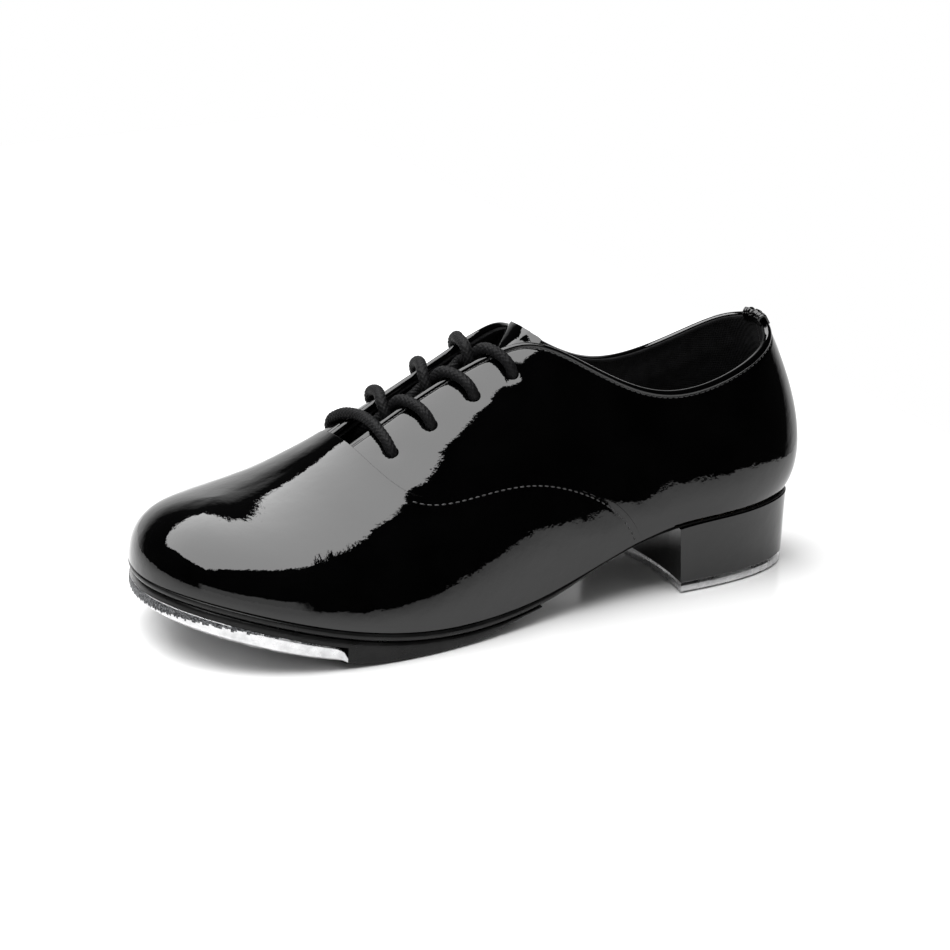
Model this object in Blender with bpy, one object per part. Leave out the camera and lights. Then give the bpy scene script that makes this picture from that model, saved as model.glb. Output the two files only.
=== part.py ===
"""Black patent oxford tap shoe for the left foot, built as separate pieces around one last surface.

X runs towards the toe, Y towards the outer side of the foot, and Z up. Lengths are millimetres until
an object is made, where MM turns them into metres.
"""

import bpy
import math
import numpy as np

MM = 0.001

# ---------------------------------------------------------------- driving dimensions, mm
# The last, from the back seam (first row) round one side to the toe tip (last row). Each row is
# x, outer y, inner y and z of the feather line, then x, half width and z of the crown line, then
# how far the belly stands out and up from the feather, and the shoulder out and down from the crown.
LAST = (
    (-2.0, 0.0, 0.0, 28.0, 14.5, 0.0, 103.0, 17.0, 17.0, 14.5, 21.0),
    (2.0, 21.0, -21.0, 28.0, 18.5, 10.0, 103.0, 12.0, 17.0, 13.5, 21.0),
    (31.0, 32.5, -31.5, 26.8, 36.0, 16.5, 103.0, 6.5, 20.0, 8.5, 21.0),
    (62.0, 33.3, -31.5, 27.0, 64.0, 18.0, 103.0, 3.5, 21.0, 6.0, 21.0),
    (90.0, 34.0, -31.0, 19.0, 98.0, 15.0, 105.0, 3.0, 27.0, 10.0, 17.0),
    (118.0, 38.5, -34.5, 9.5, 121.0, 5.0, 101.0, 3.5, 37.0, 22.0, 6.0),
    (146.0, 45.0, -41.0, 7.0, 146.0, 0.0, 88.5, 3.5, 36.0, 27.0, 2.0),
    (174.0, 50.6, -47.5, 8.0, 172.0, 0.0, 75.0, 2.5, 27.0, 26.0, 1.5),
    (202.0, 51.5, -50.0, 12.4, 198.0, 0.0, 58.0, 2.0, 24.0, 24.0, 0.5),
    (228.0, 47.5, -46.5, 19.0, 219.0, 0.0, 51.5, 1.5, 20.0, 23.0, 0.5),
    (249.0, 37.0, -32.0, 24.5, 230.0, 0.0, 50.5, 1.0, 17.0, 21.0, 1.0),
    (260.5, 23.0, -14.0, 26.8, 234.0, 0.0, 50.3, 0.5, 16.0, 19.0, 1.5),
    (264.5, 5.0, 5.0, 26.8, 235.0, 0.0, 50.1, 0.5, 15.0, 18.0, 2.0),
)
TOE = len(LAST) - 1  # station of the toe tip; station 0 is the back seam

# Places on the last are (station, height): height 0 is the feather line and 1 the crown line.
VAMP_SEAM = (
    (3.68, 0.0), (3.85, 0.14), (4.2, 0.255), (4.8, 0.33), (5.5, 0.385), (6.2, 0.43),
    (6.8, 0.48), (7.25, 0.56), (7.55, 0.68), (7.72, 0.83), (7.82, 1.0),
)
TOPLINE = (
    (0.0, 0.85), (0.7, 0.80), (1.5, 0.73), (2.3, 0.648), (2.95, 0.612), (3.5, 0.652),
    (4.1, 0.757), (4.55, 0.853), (4.9, 0.915), (5.4, 0.917), (8.2, 0.917),
)
INNER_DIP = 0.018  # the topline is this much lower on the inner side of the ankle
INNER_RISE = 0.033  # and this much higher behind it
SEAM_LAP = (0.24, -0.055)  # how far the quarters run under the vamp
EYELETS = ((7.08, 0.737), (6.49, 0.747), (5.83, 0.760), (5.23, 0.774))
INNER_EYELETS = 0.14  # the inner row lies this many stations nearer the toe

UPPER = 1.2  # patent leather
GAP = 0.5  # between layers of the upper
LAP_DIP = 0.4  # the quarters sink this much more under the vamp
BACK_SEAM = 0.012  # station where each quarter ends at the back seam
LINING = 0.8
LINING_DIP = 0.8  # and the lining behind them this much
COUNTER = 1.0
SKIN = -(UPPER + GAP)  # outer face of the quarters, below the last surface
UNDER = SKIN - UPPER - GAP  # outer face of what lies behind the quarters

TOUCH = 0.3  # clearance of pieces that rest on each other
SOLE_EDGE = 1.1  # how far the soles stand out past the feather line
SEAT_EDGE = 0.2  # and at the heel seat
MIDSOLE = 2.5
MIDSOLE_HEEL = 1.4
HALF_SOLE_END = 5.15  # station where the half sole is skived away
TAP_REAR = 8.2
TAP_CRESCENT = 0.45
TAP_PROUD = 0.3  # the toe tap stands out past the sole's edge
RECESS_SHIFT = 0.014  # stations between the tap's rear edge and its recess
HEEL_FRONT = 60.0
HEEL_WIDTH = 65.0
HEEL_BACK_RADIUS = 27.0
HEEL_HOLLOW = 3.6
HEEL_TAP = 3.75
HEEL_OFF_CENTRE = 0.6
HEEL_COVER = 0.9
LACE_RADIUS = 2.0
EYELET_BORE = 2.6
EYELET_BARREL = 3.0
EYELET_FLANGE = 4.4
HOLE_SIDES = 8
FLANGE_GAP = 0.5  # the flat flange under the curved facing
ORIGIN = (129.652, 0.928, 0.0)  # of the part's own frame, in the last's coordinates


# ---------------------------------------------------------------- the last surface
def guide_loops():
    """Feather, belly, shoulder and crown control points, once round the foot."""
    outer = [(r[0], r[1], r[3], r[4], r[5]) + r[6:] for r in LAST]
    inner = [(r[0], r[2], r[3], r[4], -r[5]) + r[6:] for r in LAST[-2:0:-1]]
    rows = np.array(outer + inner)
    feather = rows[:, 0:3]
    crown = rows[:, 3:6]
    along = np.roll(feather, -1, 0) - np.roll(feather, 1, 0)
    out = np.stack([-along[:, 1], along[:, 0], 0 * along[:, 0]], 1)
    out /= np.linalg.norm(out, axis=1)[:, None]
    lean = (feather - crown) * (1, 1, 0)
    lean /= np.linalg.norm(lean, axis=1)[:, None]
    up = np.array([0, 0, 1.0])
    belly = feather + rows[:, 6:7] * out + rows[:, 7:8] * up
    shoulder = crown + rows[:, 8:9] * lean - rows[:, 9:10] * up
    return feather, belly, shoulder, crown


LOOPS = guide_loops()
ROUND = len(LOOPS[0])


def along_loop(points, s):
    """A closed uniform cubic B-spline at station s."""
    k = np.floor(s).astype(int)
    f = s - k
    weights = (
        (1 - f) ** 3 / 6,
        (3 * f**3 - 6 * f**2 + 4) / 6,
        (-3 * f**3 + 3 * f**2 + 3 * f + 1) / 6,
        f**3 / 6,
    )
    return sum(w[..., None] * points[(k + j - 1) % ROUND] for j, w in enumerate(weights))


def last_point(s, t):
    s, t = np.broadcast_arrays(np.asarray(s, float), np.asarray(t, float))
    feather, belly, shoulder, crown = (along_loop(p, s) for p in LOOPS)
    t = t[..., None]
    low = (1 - t) ** 3 * feather + 3 * t * (1 - t) ** 2 * belly
    return low + 3 * t * t * (1 - t) * shoulder + t**3 * crown


def one_side_normal(s, t):
    e = 1e-3
    t = np.clip(t, 0.002, 0.985)
    ds = last_point(s + e, t) - last_point(s - e, t)
    dt = last_point(s, t + e) - last_point(s, t - e)
    n = np.cross(dt, ds)
    return n / np.linalg.norm(n, axis=-1)[..., None]


def last_normal(s, t):
    """Outward normal, made the same on both sides where they meet on the ridge of the forepart."""
    s, t = np.broadcast_arrays(np.asarray(s, float), np.asarray(t, float))
    n = one_side_normal(s, t)
    both = n + one_side_normal(ROUND - s, t)
    both /= np.linalg.norm(both, axis=-1)[..., None]
    ridge = (t > 0.999) & (np.minimum(s, ROUND - s) > 5.6)
    return np.where(ridge[..., None], both, n)


def on_last(s, t, offset, side=1):
    """Point at a station of 0 (back) to TOE, raised by offset; side is 1 outer, -1 inner."""
    s, t, offset = np.broadcast_arrays(np.asarray(s, float), np.asarray(t, float), np.asarray(offset, float))
    s = s if side > 0 else ROUND - s
    return last_point(s, t) + offset[..., None] * last_normal(s, t)


# ---------------------------------------------------------------- lines on the last
def smooth_line(points, q):
    """An open B-spline through the first and last point, at q from 0 to 1."""
    p = np.array(points, float)
    p = np.vstack([2 * p[0] - p[1], p, 2 * p[-1] - p[-2]])
    q = np.clip(np.asarray(q, float), 0, 1) * (len(p) - 3)
    k = np.minimum(np.floor(q).astype(int), len(p) - 4)
    f = (q - k)[..., None]
    return (
        (1 - f) ** 3 * p[k] + (3 * f**3 - 6 * f**2 + 4) * p[k + 1]
        + (-3 * f**3 + 3 * f**2 + 3 * f + 1) * p[k + 2] + f**3 * p[k + 3]
    ) / 6


LINE_STEPS = np.linspace(0, 1, 401)
SEAM_LINE = smooth_line(VAMP_SEAM, LINE_STEPS)
TOP_CURVE = smooth_line(TOPLINE, LINE_STEPS)


def top_height(s, side):
    """Height of the topline, and past the instep of the flap's edge."""
    high = np.interp(s, TOP_CURVE[:, 0], TOP_CURVE[:, 1])
    if side > 0:
        return high
    rise = INNER_RISE * np.exp(-(((s - 1.25) / 0.75) ** 2)) * np.clip(s / 0.4, 0, 1)
    return high + rise - INNER_DIP * np.exp(-(((s - 2.9) / 1.2) ** 2))


def seam_height(s, lap=(0.0, 0.0)):
    """Height of the vamp seam at a station: 0 behind it. lap shifts the seam."""
    line = SEAM_LINE + np.array(lap)
    return np.clip(np.interp(s, line[:, 0], line[:, 1], left=0.0), 0.0, 1.0)


# ---------------------------------------------------------------- making objects
MATERIALS = {
    "patent": ((0.008, 0.008, 0.009), 0.06, 0.0),
    "lining": ((0.03, 0.03, 0.032), 0.9, 0.0),
    "stiffener": ((0.62, 0.58, 0.48), 0.8, 0.0),
    "board": ((0.55, 0.42, 0.27), 0.85, 0.0),
    "sole": ((0.012, 0.012, 0.012), 0.35, 0.0),
    "heel": ((0.02, 0.02, 0.02), 0.5, 0.0),
    "tap": ((0.86, 0.86, 0.87), 0.28, 1.0),
    "steel": ((0.55, 0.55, 0.56), 0.3, 1.0),
    "eyelet": ((0.05, 0.05, 0.05), 0.35, 1.0),
    "lace": ((0.012, 0.012, 0.012), 0.85, 0.0),
    "filler": ((0.4, 0.28, 0.17), 0.95, 0.0),
}


def material(slot):
    found = bpy.data.materials.get(slot)
    if found:
        return found
    colour, roughness, metallic = MATERIALS[slot]
    made = bpy.data.materials.new(slot)
    made.use_nodes = True
    shader = made.node_tree.nodes["Principled BSDF"]
    shader.inputs["Base Color"].default_value = (*colour, 1.0)
    shader.inputs["Roughness"].default_value = roughness
    shader.inputs["Metallic"].default_value = metallic
    made.diffuse_color = (*colour, 1.0)
    return made


def add_object(name, points, faces, slot, cutter=False):
    """One object from millimetre points in the last's coordinates."""
    points = (np.asarray(points, float) - ORIGIN) * MM
    faces = np.asarray(faces)
    mesh = bpy.data.meshes.new(name)
    corners = points[faces]
    volume = np.einsum("ij,ij->i", corners[:, 0], np.cross(corners[:, 1], corners[:, 2])).sum()
    if volume < 0:
        faces = faces[:, ::-1]
    mesh.from_pydata(points.tolist(), [], faces.tolist())
    mesh.shade_smooth()
    mesh.set_sharp_from_angle(angle=math.radians(40))
    obj = bpy.data.objects.new(name, mesh)
    bpy.context.scene.collection.objects.link(obj)
    mesh.materials.append(material(slot))
    if cutter:
        obj.hide_render = True
        obj.display_type = "WIRE"
    return obj


def grid_faces(rows, columns, first):
    """Two triangles for each cell of a grid whose points start at index first."""
    i, j = np.meshgrid(np.arange(rows - 1), np.arange(columns - 1), indexing="ij")
    a = (first + i * columns + j).ravel()
    b, c, d = a + 1, a + columns + 1, a + columns
    return np.vstack([np.stack([a, b, c], 1), np.stack([a, c, d], 1)])


def shell(name, patches, slot, cutter=False):
    """A closed shell. Each patch is (outer grid, inner grid, flip); patches join where points meet."""
    outer, inner, faces = [], [], []
    count = 0
    for a, b, flip in patches:
        rows, columns = a.shape[:2]
        outer.append(a.reshape(-1, 3))
        inner.append(b.reshape(-1, 3))
        tri = grid_faces(rows, columns, count)
        faces.append(tri[:, ::-1] if flip else tri)
        count += rows * columns
    outer, inner, faces = np.vstack(outer), np.vstack(inner), np.vstack(faces)
    _, first, index = np.unique(np.round(outer, 3), axis=0, return_index=True, return_inverse=True)
    outer, inner, faces = outer[first], inner[first], index.reshape(-1)[faces]
    whole = (faces[:, 0] != faces[:, 1]) & (faces[:, 1] != faces[:, 2]) & (faces[:, 0] != faces[:, 2])
    faces = faces[whole]
    edges = np.vstack([faces[:, [0, 1]], faces[:, [1, 2]], faces[:, [2, 0]]])
    held = {(a, b) for a, b in edges.tolist()}
    rim = np.array([(a, b) for a, b in held if (b, a) not in held])
    rim = rim[np.lexsort((rim[:, 1], rim[:, 0]))]
    n = len(outer)
    walls = np.vstack([
        np.stack([rim[:, 1], rim[:, 0], rim[:, 0] + n], 1),
        np.stack([rim[:, 1], rim[:, 0] + n, rim[:, 1] + n], 1),
    ])
    points = np.vstack([outer, inner])
    return add_object(name, points, np.vstack([faces, faces[:, ::-1] + n, walls]), slot, cutter)


def last_shell(name, places, offsets, slot):
    """A shell on the last. places holds (side, stations, heights); offsets gives outer and inner."""
    patches = []
    for side, s, t in places:
        out, into = (f(s, t) if callable(f) else f for f in offsets)
        patches.append((on_last(s, t, out, side), on_last(s, t, into, side), side < 0))
    return shell(name, patches, slot)


def boolean(obj, cutter, operation="DIFFERENCE"):
    made = obj.modifiers.new(cutter.name, "BOOLEAN")
    made.operation = operation
    made.object = cutter


def rod(name, start, axis, profile, slot, steps=12, cutter=False):
    """A turned piece: profile holds (distance along the axis, radius); both ends are closed."""
    axis = np.array(axis, float) / np.linalg.norm(axis)
    side = np.cross(axis, (0, 1, 0) if abs(axis[1]) < 0.9 else (1, 0, 0))
    side /= np.linalg.norm(side)
    other = np.cross(axis, side)
    start = np.array(start, float)
    turn = np.linspace(0, 2 * math.pi, steps, endpoint=False)
    ring = np.cos(turn)[:, None] * side + np.sin(turn)[:, None] * other
    points = np.vstack([start + z * axis + r * ring for z, r in profile])
    faces = []
    for k in range(len(profile) - 1):
        for i in range(steps):
            a, b = k * steps + i, k * steps + (i + 1) % steps
            faces += [(a, b, b + steps), (a, b + steps, a + steps)]
    top = (len(profile) - 1) * steps
    for i in range(1, steps - 1):
        faces += [(0, i + 1, i), (top, top + i, top + i + 1)]
    return add_object(name, points, faces, slot, cutter)


def ring_piece(name, centre, axis, profile, slot, steps=12):
    """A turned ring: the closed profile holds (distance along the axis, radius)."""
    axis = np.array(axis, float) / np.linalg.norm(axis)
    side = np.cross(axis, (0, 1, 0) if abs(axis[1]) < 0.9 else (1, 0, 0))
    side /= np.linalg.norm(side)
    other = np.cross(axis, side)
    turn = np.linspace(0, 2 * math.pi, steps, endpoint=False)
    ring = np.cos(turn)[:, None] * side + np.sin(turn)[:, None] * other
    points = np.vstack([np.array(centre, float) + z * axis + r * ring for z, r in profile])
    faces = []
    count = len(profile)
    for k in range(count):
        for i in range(steps):
            a, b = k * steps + i, k * steps + (i + 1) % steps
            c, d = (k + 1) % count * steps + (i + 1) % steps, (k + 1) % count * steps + i
            faces += [(a, b, c), (a, c, d)]
    return add_object(name, points, faces, slot)


# ---------------------------------------------------------------- the upper
def vamp_places(start, rows, columns, t_low=0.0):
    """Both halves of the forepart, from the line start(q) to the toe, meeting on the ridge."""
    q = np.linspace(0, 1, rows)
    line = smooth_line(start, q)
    line[:, 1] = np.maximum(line[:, 1], t_low)
    at_toe = t_low + (1 - t_low) * q**1.15
    p = np.linspace(0, 1, columns)[None, :] ** 0.9
    s = line[:, :1] + (TOE - line[:, :1]) * p
    t = line[:, 1:] + (at_toe[:, None] - line[:, 1:]) * p
    return [(1, s, t), (-1, s, t)]


def quarter_stations(front):
    """The stations that every layer of the quarters shares, so that their facets stay parallel."""
    stations = np.concatenate([np.linspace(0, 3.6, 10), np.linspace(3.8, 7.6, 12), (7.78, 7.9)])
    return stations[stations <= front]


def facing_edge(s, side):
    """The line below the topline where the layers change: the facing's lower edge at the eyelets."""
    return np.minimum(0.655, top_height(s, side) - 0.19)


def quarter_rows(s, side, low, high):
    """Heights from low to high, with rows shared along the facing's edge."""
    middle = np.clip(facing_edge(s, side), low + 0.01, high - 0.01)
    lower = low + (middle - low) * np.linspace(0, 1, 5)[None, :]
    upper = middle + (high - middle) * np.linspace(0, 1, 5)[None, 1:]
    return np.concatenate([lower, upper], 1)


def quarter_place(side, s, low, high):
    t = quarter_rows(s, side, low, high)
    return (side, (s + 0 * t).T, t.T)


def lapped(s, t, above=0.03):
    """1 where the vamp covers the quarters, fading to 0 a little above its seam."""
    return np.clip((seam_height(s) + above - t) / 0.05, 0, 1) * (s > 3.4)


def quarter_out(s, t):
    return SKIN - LAP_DIP * lapped(s, t)


def quarter_in(s, t):
    return quarter_out(s, t) - UPPER


def make_quarter(side, name):
    s = quarter_stations(8.0)[:, None]
    s[0] = BACK_SEAM
    high = top_height(s, side)
    low = np.minimum(seam_height(s, SEAM_LAP), high - 0.02)

    quarter = last_shell(name, [quarter_place(side, s, low, high)], (quarter_out, quarter_in), "patent")
    punch_lace_holes(quarter, side, EYELET_BARREL + 0.3)


def counter_depth(s, t):
    """1 where the heel counter lies behind the quarters, fading to 0 around it."""
    along = np.clip((3.4 - s) / 0.5, 0, 1)
    below = np.clip((facing_edge(s, 1) + 0.145 - t) / 0.09, 0, 1)
    return along * below


def lining_out(s, t):
    return UNDER - (COUNTER + GAP) * counter_depth(s, t) - LINING_DIP * lapped(s, t, 0.12)


def lining_in(s, t):
    return lining_out(s, t) - LINING


def make_upper():
    last_shell("vamp", vamp_places(VAMP_SEAM, 9, 12), (0.0, -UPPER), "patent")
    for side, name in ((1, "quarter_outer"), (-1, "quarter_inner")):
        make_quarter(side, name)
    make_back_strip()
    make_stiffeners()
    make_linings()
    make_facings()


def make_back_strip():
    """A narrow strip over the back seam, from the feather to the topline."""
    s = np.linspace(-0.16, 0.16, 5)[:, None]
    t = np.linspace(0.0, float(top_height(0.0, 1)), 9)[None, :]
    s, t = s + 0 * t, t + 0 * s
    raised = SKIN + TOUCH + 0.9
    points = last_point(s, t)
    normals = one_side_normal(s, t)
    shell("back_strip", [(points + raised * normals, points + (SKIN + TOUCH) * normals, False)], "patent")


def make_stiffeners():
    """The toe puff between vamp and lining, and the heel counter between quarters and lining."""
    cap_line = ((9.3, 0.0), (9.2, 0.3), (9.1, 0.6), (9.0, 0.8), (8.95, 1.0))
    puff = SKIN - 0.45
    last_shell("toe_puff", vamp_places(cap_line, 7, 6, 0.01), (puff, puff - LINING), "stiffener")
    places = []
    for side in (1, -1):
        s = quarter_stations(3.0)[:, None]
        high = facing_edge(s, side) * (1 - 0.25 * (s / 3.0) ** 3)
        t = 0.01 + (high - 0.01) * np.linspace(0, 1, 5)[None, :]
        places.append((side, (s + 0 * t).T, t.T))
    last_shell("heel_counter", places, (UNDER, UNDER - COUNTER), "stiffener")


LINING_SEAM = (
    (5.2, 0.0), (5.35, 0.2), (5.8, 0.34), (6.5, 0.44), (7.1, 0.54), (7.6, 0.7), (7.9, 0.88), (8.0, 1.0),
)
FACING_START = 4.45


def make_linings():
    vamp_lining = UNDER - 0.7
    places = vamp_places(LINING_SEAM, 8, 9, 0.01)
    last_shell("vamp_lining", places, (vamp_lining, vamp_lining - LINING), "lining")
    line = smooth_line(LINING_SEAM, LINE_STEPS) - (0.08, 0.0)
    for side, name in ((1, "quarter_lining_outer"), (-1, "quarter_lining_inner")):
        s = quarter_stations(7.15)[:, None]
        s[0] = BACK_SEAM
        low = np.clip(np.interp(s, line[:, 0], line[:, 1], left=0.01) + 0.015 * (s > 5.1), 0.01, 1)
        high = np.where(s < FACING_START - 0.15, top_height(s, side) - 0.004, facing_edge(s, side) - 0.012)
        high = np.maximum(high, low + 0.03)
        last_shell(name, [quarter_place(side, s, low, high)], (lining_out, lining_in), "lining")


def make_facings():
    for side, name in ((1, "facing_outer"), (-1, "facing_inner")):
        s = quarter_stations(7.6)
        s = s[s > FACING_START][:, None]
        high = top_height(s, side) - 0.003
        low = facing_edge(s, side) + 0.15 * np.clip((s - 7.3) / 0.4, 0, 1) ** 2
        t = low + (high - low) * np.linspace(0, 1, 5)[None, :]
        facing = last_shell(name, [(side, (s + 0 * t).T, t.T)], (UNDER, UNDER - COUNTER), "lining")
        punch_lace_holes(facing, side, EYELET_BARREL + 0.3)


def eyelet_shift(side):
    return INNER_EYELETS if side < 0 else 0.0


def eyelet_frame(station, height, side):
    """A point on the last and the outward normal there."""
    station = station + eyelet_shift(side)
    point = on_last(station, height, 0.0, side)
    raised = on_last(station, height, 1.0, side)
    return point, raised - point


def punch_lace_holes(obj, side, radius):
    for k, (s, t) in enumerate(EYELETS):
        point, normal = eyelet_frame(s, t, side)
        name = f"{obj.name}_punch_{k + 1}"
        profile = ((0, radius), (14, radius))
        cutter = rod(name, point - 9 * normal, normal, profile, "steel", HOLE_SIDES, True)
        boolean(obj, cutter)


def make_eyelets():
    """Blind eyelets: the flange lies behind the facing, and the barrel ends inside the leather."""
    inside = UNDER - COUNTER
    for side, word in ((1, "outer"), (-1, "inner")):
        for k, (s, t) in enumerate(EYELETS):
            point, normal = eyelet_frame(s, t, side)
            profile = (
                (inside - FLANGE_GAP - 0.5, EYELET_BORE),
                (inside - FLANGE_GAP - 0.5, EYELET_FLANGE),
                (inside - FLANGE_GAP, EYELET_FLANGE),
                (inside - FLANGE_GAP, EYELET_BARREL),
                (SKIN - 0.5, EYELET_BARREL),
                (SKIN - 0.5, EYELET_BORE),
            )
            ring_piece(f"eyelet_{word}_{k + 1}", point, normal, profile, "eyelet", HOLE_SIDES)


# ---------------------------------------------------------------- the tongue
TONGUE_DEPTH = 10.6
TONGUE_TOP_DEPTH = 6.4
TONGUE_HINGE = np.array((197.0, 0.0, 44.0))  # ahead of the tongue's front end


def tongue_offset(s):
    lift = np.clip((5.1 - s) / 0.6, 0, 1)
    lift = lift * lift * (3 - 2 * lift)
    return -TONGUE_DEPTH + (TONGUE_DEPTH - TONGUE_TOP_DEPTH) * lift


def tongue_grid(side, extra, start, end, trim=0.0):
    """Half of the tongue, from its middle line out to one edge."""
    s = np.linspace(start, end, 11)[:, None]
    across = np.linspace(0, 1, 5)[None, :]
    reach = 0.35 - trim - 0.15 * np.clip((s - 6.0) / 2.0, 0, 1)
    reach = reach * np.clip((s - start + 0.35) / 0.6, 0, 1) ** 0.5
    t = 1 - reach * across
    s = s + 0 * t
    offset = tongue_offset(s) + extra
    points = on_last(s, t, offset, side)
    middle = (points[:, 0] + on_last(s, t, offset, -side)[:, 0]) / 2
    points[:, 0] = middle
    return points


def tongue_layer(name, top, thick, start, end, trim, slot):
    patches = []
    for side in (1, -1):
        outer = tongue_grid(side, top, start, end, trim)
        inner = tongue_grid(side, top - thick, start, end, trim)
        patches.append((outer, inner, side < 0))
    return shell(name, patches, slot)


def make_tongue():
    """Tongue and lining hang from an empty on the axis they bend about, at their front end."""
    hinge = bpy.data.objects.new("tongue_hinge", None)
    bpy.context.scene.collection.objects.link(hinge)
    place = (TONGUE_HINGE - ORIGIN) * MM
    hinge.location = place
    tongue = tongue_layer("tongue", 0.0, UPPER, 4.72, 8.05, 0.0, "patent")
    lining = tongue_layer("tongue_lining", -UPPER - GAP, LINING, 4.76, 8.0, 0.01, "lining")
    for piece in (tongue, lining):
        piece.parent = hinge
        piece.location = -place


# ---------------------------------------------------------------- the lace
# From one eyelet, under its own flap, across the gap and over the other flap to the next eyelet:
# place across the gap (0.27 at the eyelet left, -0.27 at the one reached), part of the way along
# the foot, and height over the last for the strand that runs on top and for the one beneath it.
STRAND = (
    (0.12, 0.17, -7.5, -7.5),
    (0.078, 0.25, -7.0, -7.2),
    (0.053, 0.34, -5.6, -6.6),
    (0.037, 0.40, -2.4, -6.0),
    (0.0, 0.50, 0.9, -4.9),
    (-0.066, 0.70, 1.6, 0.6),
    (-0.09, 0.78, 1.9, 1.6),
    (-0.17, 0.91, 2.6, 2.5),
)
BAR = ((0.215, 1.9), (0.13, 2.3), (0.0, 1.2))
TAIL = (
    (5.28, 0.33, -8.0), (5.49, 0.43, -7.8), (5.84, 0.51, -8.1), (6.19, 0.57, -8.5), (6.59, 0.63, -8.7),
)
AGLET = (6.64, 0.635, 6.99, 0.66, -8.8)


def gap_point(station, across, offset):
    """A point over the gap: across is positive on the outer side and 0 on the middle line."""
    return on_last(station, 1 - abs(across), offset, 1 if across >= 0 else -1)


def bar_station(across):
    """The bar runs slantwise from the outer row's first eyelet to the inner row's."""
    reach = 1 - EYELETS[0][1]
    return EYELETS[0][0] + INNER_EYELETS * (reach - across) / (2 * reach)


def half_lace(side):
    """From the bar's middle down through the first eyelet, and on to the end of the lace."""
    points = [gap_point(bar_station(side * w), side * w, lift) for w, lift in BAR[:2][::-1]]
    for k, (s, t) in enumerate(EYELETS):
        reach = 1 - t
        s = s + eyelet_shift(side)
        points += [gap_point(s, side * reach, 0.5), gap_point(s, side * reach, -8.0)]
        if k + 1 == len(EYELETS):
            break
        step = EYELETS[k + 1][0] + eyelet_shift(-side) - s
        other = (1 - EYELETS[k + 1][1]) / 0.27
        for w, part, above, below in STRAND:
            lift = above if side > 0 else below
            near = w * (reach / 0.27 if w > 0 else other)
            points.append(gap_point(s + part * step, side * near, lift))
        side = -side
    points += [gap_point(s + eyelet_shift(side), side * w, lift) for s, w, lift in TAIL]
    return points, side


def make_lace():
    outer, outer_end = half_lace(1)
    inner, inner_end = half_lace(-1)
    middle = gap_point(bar_station(0.0), 0.0, BAR[2][1])
    middle[1] = 0.0
    route = outer[::-1] + [middle] + inner
    curve = bpy.data.curves.new("lace", "CURVE")
    curve.dimensions = "3D"
    spline = curve.splines.new("POLY")
    spline.points.add(len(route) - 1)
    for point, place in zip(spline.points, route):
        point.co = (*((place - ORIGIN) * MM), 1.0)
    curve.bevel_depth = LACE_RADIUS * MM
    curve.bevel_resolution = 2
    curve.use_fill_caps = True
    curve.materials.append(material("lace"))
    lace = bpy.data.objects.new("lace", curve)
    bpy.context.scene.collection.objects.link(lace)
    s0, w0, s1, w1, lift = AGLET
    for side, word in ((outer_end, "a"), (inner_end, "b")):
        shift = eyelet_shift(side)
        start, end = gap_point(s0 + shift, side * w0, lift), gap_point(s1 + shift, side * w1, lift)
        length = float(np.linalg.norm(end - start))
        rod(f"aglet_{word}", start, end - start, ((0, 1.7), (length - 1, 1.7), (length, 1.1)), "eyelet", 10)


# ---------------------------------------------------------------- the bottom
def sole_edge(s, side, out):
    """A point of the feather line moved out in plan."""
    s = s if side > 0 else ROUND - s
    here = last_point(s, 0.0)
    ahead = last_point(s + 0.01, 0.0) - last_point(s - 0.01, 0.0)
    normal = np.stack([-ahead[..., 1], ahead[..., 0], 0 * ahead[..., 0]], -1)
    normal /= np.linalg.norm(normal, axis=-1)[..., None]
    return here + np.asarray(out)[..., None] * normal


BED_STATIONS = np.linspace(0, TOE, 241)
BED = last_point(BED_STATIONS, 0.0)


def sole_out(s):
    """How far the soles stand out at a station."""
    return SEAT_EDGE + (SOLE_EDGE - SEAT_EDGE) * np.clip((s - 4.2) / 2.0, 0, 1)


def bed(x):
    """Height of the feather line at a place along the shoe."""
    return np.interp(x, BED[:, 0], BED[:, 2])


def sole_points(s, v, out, height):
    """Points across the sole: v is 0 on the outer edge and 1 on the inner; height(x) is absolute."""
    a, b = sole_edge(s, 1, out), sole_edge(s, -1, out)
    points = a + (b - a) * v[..., None]
    points[..., 2] = height(points[..., 0])
    return points


def sole_grid(start, end, columns, across=5):
    s = start + (end - start) * np.linspace(0, 1, columns)
    ends = np.sin(np.linspace(0, math.pi / 2, 5))[1:-1]
    if end == TOE:
        s = np.concatenate([s[:-1], TOE - (s[-1] - s[-2]) * (1 - ends), s[-1:]])
    if start == 0:
        s = np.concatenate([s[:1], (s[1] - s[0]) * (1 - ends[::-1]), s[1:]])
    return np.meshgrid(s, np.linspace(0, 1, across), indexing="ij")


def slab(name, grid, out, top, bottom, slot, cutter=False):
    s, v = grid
    return shell(name, [(sole_points(s, v, out, top), sole_points(s, v, out, bottom), False)], slot, cutter)


def midsole_top(x):
    return bed(x) - TOUCH


def midsole_bottom(x):
    """The midsole thins from the forepart into the waist and the heel seat."""
    f = np.clip((x - 75.0) / 45.0, 0, 1)
    return midsole_top(x) - MIDSOLE_HEEL - (MIDSOLE - MIDSOLE_HEEL) * f * f * (3 - 2 * f)


def make_midsole():
    grid = sole_grid(0, TOE, 25)
    return slab("midsole", grid, sole_out(grid[0]), midsole_top, midsole_bottom, "sole")


TREAD = (
    (118.0, 7.6), (130.0, 4.9), (145.0, 1.8), (160.0, 0.2), (175.0, 0.0), (188.0, 0.0), (202.0, 1.2),
    (218.0, 3.8), (234.0, 7.6), (250.0, 11.8), (262.0, 14.8), (270.0, 16.6),
)
TREAD_LINE = smooth_line(TREAD, LINE_STEPS)


def tread(x):
    """Height above the floor of the half sole's underside."""
    return np.maximum(np.interp(x, TREAD_LINE[:, 0], TREAD_LINE[:, 1]), 0.0)


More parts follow.
